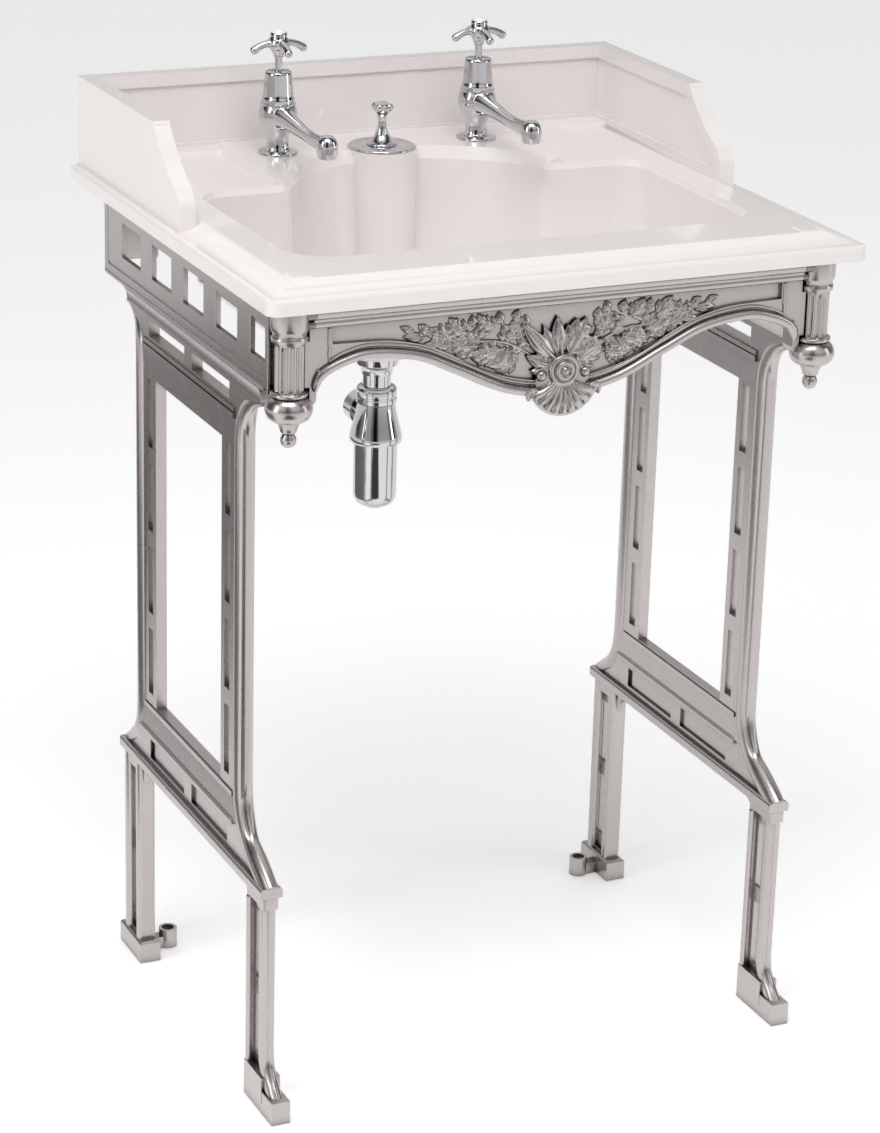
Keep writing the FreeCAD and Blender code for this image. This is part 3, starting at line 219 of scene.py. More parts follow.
def surface_copy(name, cad, flat=0.6):
    """Joined copy of a solid's surface, with flat areas made into single faces."""
    piece = bpy.data.objects.new(name, frame["nodes"][cad].data.copy())
    bpy.context.collection.objects.link(piece)
    lone(piece)
    bpy.ops.object.mode_set(mode="EDIT")
    bpy.ops.mesh.select_all(action="SELECT")
    bpy.ops.mesh.remove_doubles(threshold=0.00001)
    bpy.ops.mesh.dissolve_limited(angle_limit=radians(flat))
    bpy.ops.object.mode_set(mode="OBJECT")
    return piece


def rounded(piece, edge, split, segments=3):
    """Rounds the edges sharper than an angle and shades the faces as one cast surface."""
    apply(piece, "BEVEL", {"width": edge * MM, "segments": segments, "limit_method": "ANGLE",
                           "angle_limit": radians(split), "use_clamp_overlap": True})
    bpy.ops.object.shade_smooth_by_angle(angle=radians(60))
    apply(piece, "WEIGHTED_NORMAL", {"weight": 80, "keep_sharp": True})


def settle(piece, material, body, slot, *replaced, split=40):
    """Gives a piece its material, shading and body, and the solids it stands for. The slot is not
    used.
    """
    lone(piece)
    if split:
        bpy.ops.object.shade_smooth_by_angle(angle=radians(split))
    piece.data.materials.clear()
    piece.data.materials.append(material)
    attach(piece, body)
    if replaced:
        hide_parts(*replaced)


# Vitreous china: a warm white body that scatters light, under a clear glaze that gives sharp
# highlights. The glaze pools very slightly unevenly, in waves about 45 mm wide.
GLAZE_WAVE = 45.45 * MM
china, tree, shader = surface("glazed_vitreous_china")
where = node(tree, "ShaderNodeTexCoord")
pooling = node(tree, "ShaderNodeTexNoise", {"Scale": 1 / GLAZE_WAVE, "Detail": 2.0},
               Vector=where.outputs["Object"])
ripple = node(tree, "ShaderNodeBump", {"Strength": 0.05, "Distance": 0.001},
              Height=pooling.outputs["Fac"])
tree.links.new(ripple.outputs["Normal"], shader.inputs["Coat Normal"])
shader.inputs["Base Color"].default_value = linear("f1ebe9")
shader.inputs["Roughness"].default_value = 0.22
shader.inputs["IOR"].default_value = 1.52
shader.inputs["Coat Weight"].default_value = 0.6
shader.inputs["Coat Roughness"].default_value = 0.04

basin = surface_copy("china_basin", "basin")
half_column = surface_copy("half_column", "basin_column")
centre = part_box("basin_column")
middle = [(a + b) / 2 for a, b in zip(*centre)]
# The half-column is taken a hair wider than it is, so that it merges with the china round it.
OVERLAP = 1.0008
half_column.data.transform(Matrix.Translation(middle) @ Matrix.Diagonal((OVERLAP, OVERLAP, 1, 1))
                           @ Matrix.Translation([-m for m in middle]))
apply(basin, "BOOLEAN", {"operation": "UNION", "object": half_column, "solver": "EXACT"})
bpy.data.objects.remove(half_column)
rounded(basin, 2.6, 28, 4)
settle(basin, china, "stand", "glazed_china", "basin", "basin_column", split=0)


# Side frames, legs and lugs: open castings in aluminium, filed along the edges and rubbed to a
# satin finish, so the faces shine softly, and painted shade keeps the hollows darker.
# Satin cast aluminium: rubbed along its length, so its highlights are soft and a little streaky.
# The real marks are finer than a pixel, so they are drawn about 0.9 mm wide to show. Painted
# shade darkens the colour within 12 mm of another face. In patches about 29 mm wide the metal
# shines less.
RUB_MARK = 0.909 * MM
PATCH = 28.57 * MM
satin, tree, shader = surface("satin_cast_aluminium_painted_shade")
where = node(tree, "ShaderNodeTexCoord")
rubbing = node(tree, "ShaderNodeMapping", {"Scale": (1.0, 1.0, 0.12)},
               Vector=where.outputs["Object"])
grain = node(tree, "ShaderNodeTexNoise", {"Scale": 1 / RUB_MARK, "Detail": 3.0},
             Vector=rubbing.outputs["Vector"])
clouds = node(tree, "ShaderNodeTexNoise", {"Scale": 1 / PATCH, "Detail": 4.0},
              Vector=where.outputs["Object"])
worn = node(tree, "ShaderNodeMapRange", {"To Min": 0.24, "To Max": 0.3},
            Value=clouds.outputs["Fac"])
bump = node(tree, "ShaderNodeBump", {"Strength": 0.07, "Distance": 0.0003},
            Height=grain.outputs["Fac"])
# Painted shade: an ambient-occlusion mask darkens the base colour within 12 mm of another face.
painted_shade_hollows = node(tree, "ShaderNodeAmbientOcclusion", {"samples": 4, "Distance": 0.012})
painted_shade_tone = node(tree, "ShaderNodeValToRGB", Fac=painted_shade_hollows.outputs["AO"])
painted_shade_tone.color_ramp.elements[0].position = 0.25
painted_shade_tone.color_ramp.elements[0].color = linear("5d5756")
painted_shade_tone.color_ramp.elements[1].position = 0.85
painted_shade_tone.color_ramp.elements[1].color = linear("bbb5b4")
tree.links.new(painted_shade_tone.outputs["Color"], shader.inputs["Base Color"])
tree.links.new(worn.outputs["Result"], shader.inputs["Roughness"])
tree.links.new(bump.outputs["Normal"], shader.inputs["Normal"])
shader.inputs["Metallic"].default_value = 1.0

# Places in millimetres: the middle plane of a side frame, the outer edges of its rear and front
# stiles, limits that lie clear of every side casting, and the two faces of a leg and of its web.
FRAME_X = 295.0
REAR = 149.5
FRONT_EDGE = -165.5
CAST_ROUND = 1.1
CAST_CORNER = 33
BORDER_FLATNESS = 0.8
SILL_SLOPE = 0.62
CLEAR = (270, 320)
WEB = (293, 297)
LEG_FACES = (284.8, 305.2)
SLOT_TOP, SLOT_MIDDLE = (140, 216), 121.5


def eased(points, steps=6):
    """Smooth line through points, given as tuples of two or more numbers."""
    result = []
    last = len(points) - 1
    for k in range(last):
        a, b, c, d = points[max(k - 1, 0)], points[k], points[k + 1], points[min(k + 2, last)]
        for s in range(steps):
            t = s / steps
            result.append(tuple(
                0.5 * (2 * q + (r - p) * t + (2 * p - 5 * q + 4 * r - w) * t * t
                       + (3 * q - p - 3 * r + w) * t ** 3) for p, q, r, w in zip(a, b, c, d)))
    return result + [points[-1]]


def tube(name, points, sides=24):
    """Round bar through points of x, y, z and radius in millimetres, closed at both ends."""
    bpy.ops.object.select_all(action="DESELECT")
    bpy.ops.curve.primitive_bezier_curve_add()
    bar = bpy.context.object
    bar.name = name
    bar.data.splines.remove(bar.data.splines[0])
    spline = bar.data.splines.new("POLY")
    spline.points.add(len(points) - 1)
    for point, (x, y, z, radius) in zip(spline.points, points):
        point.co = (x * MM, y * MM, z * MM, 1)
        point.radius = radius * MM
    bar.data.dimensions = "3D"
    bar.data.bevel_depth = 1.0
    bar.data.bevel_resolution = sides // 4
    bar.data.use_fill_caps = True
    bpy.ops.object.convert(target="MESH")
    return bpy.context.object


def joined(name, blobs):
    """Several shapes made into one object."""
    bpy.ops.object.select_all(action="DESELECT")
    for blob in blobs:
        blob.select_set(True)
    bpy.context.view_layer.objects.active = blobs[0]
    bpy.ops.object.join()
    piece = bpy.context.object
    piece.name = name
    return piece


def block(x, y, z):
    """Box between three pairs of limits, in millimetres."""
    bpy.ops.object.select_all(action="DESELECT")
    middle = [(pair[0] + pair[1]) / 2 * MM for pair in (x, y, z)]
    bpy.ops.mesh.primitive_cube_add(size=1, location=middle)
    shape = bpy.context.object
    shape.scale = [abs(pair[1] - pair[0]) * MM for pair in (x, y, z)]
    bpy.ops.object.transform_apply(location=True, rotation=True, scale=True)
    return shape


def cut_away(piece, shapes):
    """Takes boxes that don't touch each other out of a piece."""
    tool = joined("tool", shapes)
    apply(piece, "BOOLEAN", {"operation": "DIFFERENCE", "object": tool, "solver": "EXACT"})
    bpy.data.objects.remove(tool)


def half_round(sign, path):
    """Rounded border of a casting along points of depth, height and half-width."""
    bar = tube("border", [(0, y, z, r) for y, z, r in path], 32)
    bar.data.transform(Matrix.Translation((sign * FRAME_X * MM, 0, 0))
                       @ Matrix.Diagonal((BORDER_FLATNESS, 1, 1, 1)))
    return bar


def bracket(sign, start, way):
    """Small concave bracket in the corner between a leg and its cap."""
    return half_round(sign, eased([(start + way * along, high, radius) for along, high, radius
                                   in ((0, 220, 6), (4, 231, 6.5), (14, 239, 6.5),
                                       (33, 242, 5))], 5))


def outside(across, faces, depth, height):
    """Two boxes that take away what stands proud of a pair of faces."""
    return [block(across(CLEAR[0], faces[0]), depth, height),
            block(across(faces[1], CLEAR[1]), depth, height)]


def slots(across, depth, low):
    """Two boxes, one over the other, for the upright slots through a leg's web."""
    return [block(across(280, 310), depth, (low, SLOT_MIDDLE)),
            block(across(280, 310), depth, SLOT_TOP)]


REAR_BORDER = eased([
    (REAR + 27, 759.5, 4.5), (REAR + 12, 755, 6.5), (REAR - 1, 746, 9), (REAR - 9, 732, 11.5),
    (REAR - 12, 715, 12.3), (REAR - 12.5, 698, 12.5)], 5) + eased([
        (REAR - 12.5, 345, 12.5), (REAR - 11.5, 320, 12.3), (REAR - 7, 296, 11.5),
        (REAR + 3, 277, 11), (REAR + 18, 264, 10), (REAR + 32, 254, 9.5),
        (REAR + 40, 249, 9)], 5)
FRONT_BORDER = eased([
    (FRONT_EDGE - 36, 759.5, 4.5), (FRONT_EDGE - 17, 755, 7), (FRONT_EDGE - 2, 746, 9.5),
    (FRONT_EDGE + 8, 731, 11.5), (FRONT_EDGE + 12, 714, 12.3),
    (FRONT_EDGE + 12.5, 698, 12.5)], 5) + eased([
        (FRONT_EDGE + 12.5, 345, 12.5), (FRONT_EDGE + 10.5, 320, 12.4),
        (FRONT_EDGE + 2, 298, 12), (FRONT_EDGE - 11, 281, 11), (FRONT_EDGE - 31, 268, 12.5),
        (FRONT_EDGE - 50, 257, 12.5), (FRONT_EDGE - 66, 247, 12)], 5)
TOE_BORDER = [(-224, 242, 10)] + eased([
    (-224, 74, 10), (-224.6, 60, 10), (-228, 47, 10), (-236, 35, 10), (-246, 25, 10),
    (-254, 17, 9.8), (-260, 11, 9.5)], 5)

for hand, sign in (("left", -1), ("right", 1)):
    def across(near, far):
        return (sign * near, sign * far)

    frieze = surface_copy("cast_frieze_" + hand, "side_frieze_" + hand)
    cut_away(frieze, [block(across(CLEAR[0], 299.4), (-226, 233.5), (786, 862))])
    rounded(frieze, 1.0, CAST_CORNER)
    edge = tube("edge", [(sign * 301, 236, z, 4.2) for z in (781, 869)])
    bead = tube("bead", [(sign * 304, y, 781, 2.2) for y in (-228, 235)], 12)
    frieze = joined("cast_frieze_" + hand, [frieze, edge, bead])
    settle(frieze, satin, "stand", "satin_aluminium", "side_frieze_" + hand)

    side = surface_copy("cast_side_frame_" + hand, "side_frame_" + hand)
    shapes = []
    for depth in ((REAR - 25.2, REAR + 0.5), (FRONT_EDGE - 0.5, FRONT_EDGE + 25.2)):
        shapes += outside(across, (289, 301), depth, (254.2, 750))
    cut_away(side, shapes)
    rounded(side, CAST_ROUND, CAST_CORNER)
    pane = block(across(292, 298), (-120, 104), (258, 284))
    sill = block(across(286, 304), (-160, 144), (294, 325))
    axis = sign * FRAME_X * MM
    for corner in sill.data.vertices:
        if corner.co.z > 310 * MM:
            corner.co.x = axis + (corner.co.x - axis) * SILL_SLOPE
    ledge = block(across(284, 306), (-146, 132), (288, 296))
    rounded(ledge, 2.5, 40)
    side = joined("cast_side_frame_" + hand, [
        side, pane, sill, ledge, half_round(sign, REAR_BORDER), half_round(sign, FRONT_BORDER)])
    settle(side, satin, "stand", "satin_aluminium", "side_frame_" + hand)

    # Front leg: a flat front behind the rounded pillar, no heel, a shorter toe, the panel with
    # its web and two slots, and sides that run straight up to the cap.
    leg = surface_copy("cast_leg_front_" + hand, "leg_front_" + hand)
    cut_away(leg, [block(across(*CLEAR), (-290, -234.3), (25.2, 243.2))])
    cut_away(leg, [block(across(*CLEAR), (-187.6, -150), (-5, 200))])
    cut_away(leg, outside(across, LEG_FACES, (-290, -170), (-5, 30)))
    cut_away(leg, [block(across(284, 306), (-290, -267), (-4, 30))])
    cut_away(leg, outside(across, WEB, (-235, -196.4), (38, 229)))
    cut_away(leg, slots(across, (-213.5, -201), 47.5))
    cut_away(leg, outside(across, (286.6, 303.4), (-290, -180), (228.4, 243.2)))
    rounded(leg, CAST_ROUND, CAST_CORNER)
    foot = block(across(284.5, 305.5), (-238, -188.3), (12, 40))
    leg = joined("cast_leg_front_" + hand, [
        leg, foot, half_round(sign, TOE_BORDER), bracket(sign, -191, 1)])
    settle(leg, satin, "stand", "satin_aluminium", "leg_front_" + hand)

    leg = surface_copy("cast_leg_rear_" + hand, "leg_rear_" + hand)
    cut_away(leg, outside(across, WEB, (151.2, 172.8), (28, 229)))
    cut_away(leg, slots(across, (152, 172), 45.5))
    rounded(leg, CAST_ROUND, CAST_CORNER)
    leg = joined("cast_leg_rear_" + hand, [leg, bracket(sign, 140, -1)])
    settle(leg, satin, "stand", "satin_aluminium", "leg_rear_" + hand)
    lug = surface_copy("cast_floor_lug_" + hand, "floor_lug_" + hand)
    rounded(lug, CAST_ROUND, CAST_CORNER)
    settle(lug, satin, "stand", "satin_aluminium", "floor_lug_" + hand, split=0)


# Corner posts: turned and fluted aluminium posts under the front corners of the basin, each
# with a capital, a ringed shaft, a bulge and a ball finial screwed in from below.
POST_AXIS = (288.5, -250.0)
FLUTES = 12
FLUTE_DEPTH = 0.13
FLUTED = (785.5 * MM, 831.5 * MM)


def turned(name, x, y, profile, sides=64):
    """Piece turned about an upright axis: a disc drawn up ring by ring, in millimetres."""
    radius, height = profile[0]
    bpy.ops.object.select_all(action="DESELECT")
    bpy.ops.mesh.primitive_circle_add(vertices=sides, radius=radius * MM, fill_type="NGON",
                                      location=(x * MM, y * MM, height * MM))
    piece = bpy.context.object
    piece.name = name
    bpy.ops.object.mode_set(mode="EDIT")
    for wide, high in profile[1:]:
        bpy.ops.mesh.extrude_region_move(
            TRANSFORM_OT_translate={"value": (0, 0, (high - height) * MM)})
        factor = wide / radius
        bpy.ops.transform.resize(value=(factor, factor, 1))
        radius, height = wide, high
    bpy.ops.mesh.select_all(action="SELECT")
    bpy.ops.mesh.normals_make_consistent(inside=False)
    bpy.ops.object.mode_set(mode="OBJECT")
    bpy.ops.object.transform_apply(location=True, rotation=True, scale=True)
    return piece


for hand, sign in (("left", -1), ("right", 1)):
    x, y = sign * POST_AXIS[0], POST_AXIS[1]
    capital = turned("post_capital_" + hand, x, y, [(16, 833.5), (17.4, 834)] + eased(
        [(17.6, 835), (17.9, 837), (17.4, 839.4), (16.4, 840.6), (16.6, 842), (18.4, 846),
         (19, 849)]) + [(19, 866), (18.4, 868.6), (17, 869.8), (0.1, 869.8)], 72)
    settle(capital, satin, "stand", "satin_aluminium", "corner_post_" + hand)
    shaft = turned("post_shaft_" + hand, x, y, [(14.5, 781), (14.5, 784), (14.5, 786)]
                   + [(14.5, z) for z in range(790, 831, 4)]
                   + [(14.5, 832), (14.5, 834), (0.1, 834)], 96)
    for point in shaft.data.vertices:
        off = Vector((point.co.x - x * MM, point.co.y - y * MM, 0))
        if off.length > 0.01 and FLUTED[0] < point.co.z < FLUTED[1]:
            wave = abs(cos(FLUTES / 2 * off.angle(Vector((1, 0, 0)))))
            scale = 1 - FLUTE_DEPTH * (1 - wave ** 2) ** 1.2
            point.co.x = x * MM + off.x * scale
            point.co.y = y * MM + off.y * scale
    settle(shaft, satin, "stand", "satin_aluminium", split=50)
    bulge = turned("post_bulge_" + hand, x, y, [(6, 742.6), (7.2, 742.8)] + eased(
        [(8.0, 743.6), (9.2, 748), (11.6, 753), (12.4, 754.6)], 4) + eased(
        [(16.5, 755.4), (20.6, 758.6), (23.0, 764), (23.2, 769.4), (20.6, 775), (17.2, 778.4),
         (15.6, 779.2)], 5) + eased(
        [(15.8, 779.4), (17.8, 780.4), (18.5, 782.2), (17.8, 784), (15.4, 785)], 3)
                   + [(14, 785.2), (0.1, 785.2)], 72)
    settle(bulge, satin, "stand", "satin_aluminium")
    finial = turned("post_finial_" + hand, x, y, eased(
        [(0.3, 727.4), (3.6, 728.2), (6.4, 730.6), (7.8, 734), (7.6, 737.6), (6.0, 741),
         (4.4, 743)]) + [(0.1, 744)], 40)
    settle(finial, satin, "stand", "satin_aluminium", "corner_finial_" + hand)


# Apron: a shaped aluminium panel between the posts with a sunken field, two rounded mouldings
# above it, a bead round the field and a fat roll along its waved lower edge.
FACE = -255.0
WAVE = [(-256, 796), (-234, 806), (-205, 811), (-156, 803.6), (-112, 784.3), (-58, 760.2),
        (0, 752)]


def waved(rise, radius, ends):
    """Points along the lower edge, raised by an amount, with end points added left and right."""
    line = WAVE + [(-x, z) for x, z in WAVE[-2::-1]]
    line = [(x, z + rise, radius) for x, z in line]
    line = ends + line + [(-x, z, r) for x, z, r in ends[::-1]]
    return eased(line, 10)


for cad in ("apron_panel", "apron_cornice"):
    piece = surface_copy("cast_" + cad, cad)
    rounded(piece, 0.9, CAST_CORNER)
    settle(piece, satin, "stand", "satin_aluminium", cad, split=0)
roll = tube("apron_roll", [(x, FACE - 0.8, z, r) for x, z, r in
                           waved(4.4, 5.0, [(-263.5, 783, 2.2), (-263, 790, 4.2)])], 32)
settle(roll, satin, "stand", "satin_aluminium")
for high, proud, radius in ((861, 4.5, 6.4), (850.2, 2.0, 4.6)):
    moulding = tube("apron_moulding", eased([
        (x, FACE - proud, high, radius) for x in (-266, -264, 264, 266)], 2), 32)
    settle(moulding, satin, "stand", "satin_aluminium")
bead = tube("apron_bead", [(x, FACE + 0.2, z, r) for x, z, r in waved(
    12.6, 1.9, [(-249.5, 844, 1.9), (-249.5, 830, 1.9), (-249.5, 820, 1.9)])
    if abs(x) < 249.6], 16)
settle(bead, satin, "stand", "satin_aluminium")


# Ornament: cast foliage laid over the apron's field. A ringed rosette has a fan of leaves above
# and a fluted shell below, with flowers and leaves running out to both sides.
ROSE = (0.0, 779.0)
FIELD = FACE + 3.6
CAST_GRAIN = 0.6


def ball(name, x, y, z, radius, squash=1.0):
    """Rounded blob to be blended into its neighbours."""
    bpy.ops.object.select_all(action="DESELECT")
    bpy.ops.mesh.primitive_uv_sphere_add(segments=24, ring_count=16, radius=radius * MM,
                                         location=(x * MM, y * MM, z * MM))
    blob = bpy.context.object
    blob.name = name
    blob.scale = (1, squash, 1)
    bpy.ops.object.transform_apply(location=True, rotation=True, scale=True)
    return blob


def ring(x, y, z, radius, thick):
    """Raised ring facing the front."""
    turn = [(x + radius * cos(k * pi / 18), y, z + radius * sin(k * pi / 18), thick)
            for k in range(38)]
    return tube("ring", turn, 12)


def blended(name, blobs, voxel, passes):
    """One cast surface from overlapping shapes, with its inner corners softened."""
    piece = joined(name, blobs)
    apply(piece, "REMESH", {"mode": "VOXEL", "voxel_size": voxel * MM})
    apply(piece, "SMOOTH", {"factor": 0.5, "iterations": passes})
    bpy.ops.object.shade_smooth()
    return piece


def flattened(piece, depth):
    """Flattens a shape made on Y = 0 from front to back."""
    piece.data.transform(Matrix.Diagonal((1, depth, 1, 1)))
    return piece


def placed(model, x, z, angle, length, width, y=FIELD):
    """Copy of a model that lies along +X, turned and stretched to a length and a half-width."""
    copy = bpy.data.objects.new(model.name, model.data.copy())
    bpy.context.collection.objects.link(copy)
    copy.data.transform(Matrix.Translation((x * MM, y * MM, z * MM))
                        @ Matrix.Rotation(radians(-angle), 4, "Y")
                        @ Matrix.Diagonal((length / 20, width / 5, width / 5, 1)))
    return copy


blade = flattened(tube("blade", [(x, 0, z, r) for x, z, r in eased(
    [(0, 0, 1.5), (4, 0.3, 3.8), (9, 0.6, 5.0), (14, 0.4, 3.6), (18, 0, 1.6), (20, -0.4, 0.4)],
    4)], 20), 0.55)
rib = tube("rib", [(0, -1.8, 0, 1.0), (9, -3.0, 0.5, 0.9), (19, -0.8, 0, 0.5)], 8)
leaf = joined("leaf", [blade, rib])
lobes = []
for x, reach, aside in ((2, 9, 48), (7, 8.5, 42), (12, 6.5, 34)):
    for hand in (-1, 1):
        lobes.append(placed(leaf, x, 0, hand * aside, reach, 2.6, 0))
lobes.append(placed(leaf, 0, 0, 0, 20, 3.4, 0))
acanthus = joined("acanthus", lobes)
petals = [placed(leaf, 0, 0, 72 * k + 18, 8, 3.4, 0) for k in range(5)]
flower = joined("flower", petals + [ball("eye", 0, -2.4, 0, 2.3)])

centre = []
for radius, thick, proud in ((13.6, 3.0, 4.5), (7.8, 2.6, 7.5)):
    centre.append(ring(ROSE[0], FACE - proud, ROSE[1], radius, thick))
centre.append(ball("rose_back", ROSE[0], FACE - 1, ROSE[1], 14.5, 0.55))
centre.append(ball("rose_boss", ROSE[0], FACE - 7.5, ROSE[1], 4.6, 1.0))
for model, x, z, angle, length, width in (
        (leaf, -7, 789, 133, 56, 9), (leaf, -1, 791, 97, 43, 9),
        (acanthus, 5, 790, 61, 45, 14), (acanthus, 11, 784, 30, 42, 13),
        (leaf, -11, 784, 158, 30, 8), (leaf, -4, 790, 116, 40, 6),
        (leaf, 4, 790, 78, 38, 6), (leaf, 12, 776, 8, 24, 6), (leaf, -12, 778, 176, 22, 6)):
    centre.append(placed(model, x, z, angle, length, width, FACE + 1))
for x in (-24, 24):
    centre.append(ball("side_boss", x, FACE - 3, 775, 5.4, 0.9))
    sign = 1 if x > 0 else -1
    centre.append(tube("scroll", [
        (sign * (33 + (6.4 - 0.36 * k) * cos(k * pi / 7)), FACE - 5.5,
         757 + (6.4 - 0.36 * k) * sin(k * pi / 7), 2.2) for k in range(-2, 15)], 12))
shell_top = ROSE[1] - 8
for k in range(9):
    angle = -pi / 2 + (k - 4) * pi / 11.5
    c, s = cos(angle), sin(angle)
    centre.append(tube("flute", eased([
        (9 * c, FACE - 4, shell_top + 9 * s, 2.2), (18 * c, FACE - 6, shell_top + 18 * s, 3.0),
        (28 * c, FACE - 6.5, shell_top + 28 * s, 4.2),
        (35 * c, FACE - 4.5, shell_top + 35 * s, 4.6)], 3), 14))
centre.append(tube("shell_rim", [
    (36.5 * cos(a), FACE - 5.4, shell_top + 36.5 * sin(a), 2.6)
    for a in [radians(-168 + 6 * k) for k in range(27)]], 12))
centre.append(ball("shell_back", 0, FACE - 1, shell_top - 6, 30, 0.12))
crest = blended("apron_crest", centre, CAST_GRAIN, 1)
settle(crest, satin, "stand", "satin_aluminium", "apron_ornament", split=0)

for hand, sign in (("left", -1), ("right", 1)):
    spray = []
    for model, x, z, angle, length, width in (
            (flower, 60, 820, 10, 27, 7.6), (flower, 54, 798, 40, 24, 6.6),
            (flower, 90, 824, 25, 22, 6.0), (flower, 122, 808, 50, 16, 4.6),
            (flower, 140, 828, 5, 18, 5.0), (acanthus, 66, 806, -18, 33, 11),
            (acanthus, 92, 811, 8, 33, 11), (acanthus, 104, 824, 28, 26, 9),
            (acanthus, 118, 814, 8, 28, 9), (acanthus, 74, 826, 30, 22, 8),
            (acanthus, 44, 812, 75, 26, 9), (acanthus, 48, 792, -12, 28, 9),
            (leaf, 66, 830, 75, 14, 6), (leaf, 60, 806, -60, 26, 7), (leaf, 76, 803, -30, 20, 7),
            (leaf, 84, 833, 50, 13, 5), (leaf, 96, 830, 80, 13, 5), (leaf, 84, 814, -75, 18, 6),
            (leaf, 104, 808, -35, 16, 5.5), (leaf, 128, 822, 75, 16, 5),
            (leaf, 132, 816, -5, 24, 6),
            (leaf, 144, 830, 35, 14, 5), (leaf, 148, 825, 5, 24, 5.5), (leaf, 64, 790, 12, 24, 6.5),
            (leaf, 82, 797, 20, 22, 6), (leaf, 52, 832, 110, 13, 5), (leaf, 36, 806, 40, 18, 6),
            (leaf, 160, 832, 20, 16, 4), (leaf, 114, 834, 40, 12, 4.5), (leaf, 38, 824, 80, 14, 5)):
        turn = angle if sign > 0 else 180 - angle
        spray.append(placed(model, sign * x, z, turn, length, width))
    spray.append(tube("stem", [(sign * x, FIELD - 0.6, z, 1.5) for x, z in eased(
        [(34, 796), (50, 806), (70, 813), (90, 815), (110, 817), (130, 822), (150, 829)], 4)], 10))
    garland = blended("apron_garland_" + hand, spray, CAST_GRAIN, 1)
    settle(garland, satin, "stand", "satin_aluminium", split=0)
for model in (leaf, acanthus, flower):
    bpy.data.objects.remove(model)


# Finishes of the taps, waste and trap: chrome plate on brass for what is seen, bare brass and
# rubber for the tails, nuts and seals under the basin, and enamel for the buttons.
# Polished chrome plate: a cool mirror, just soft enough to blur thin reflections.
chrome, tree, shader = surface("polished_chrome_plate")
shader.inputs["Base Color"].default_value = linear("cbcbce")
shader.inputs["Metallic"].default_value = 1.0
shader.inputs["Roughness"].default_value = 0.08

# Machined brass: yellow metal whose turning marks blur what it mirrors.
brass, tree, shader = surface("machined_brass")
shader.inputs["Base Color"].default_value = linear("c9a45c")
shader.inputs["Metallic"].default_value = 1.0
shader.inputs["Roughness"].default_value = 0.3

# Moulded black rubber: dull, with a wide faint shine.
rubber, tree, shader = surface("black_rubber_washer")
shader.inputs["Base Color"].default_value = linear("1c1c1c")
shader.inputs["Roughness"].default_value = 0.7

# Fired white enamel: smooth and glassy.
enamel, tree, shader = surface("white_enamel_button")
shader.inputs["Base Color"].default_value = linear("f0f0ee")
shader.inputs["Roughness"].default_value = 0.15


# Taps: brass castings turned, polished and plated with chrome. Each has a base flange, a
# rounded body with a long tapering spout, a bell cover, a cross handle and a button on top.
TAP_AXES = {"hot": -118.0, "cold": 118.0}
TAP_BACK = 208.0
DECK = 902.0
NOZZLE_BACK = 70.0

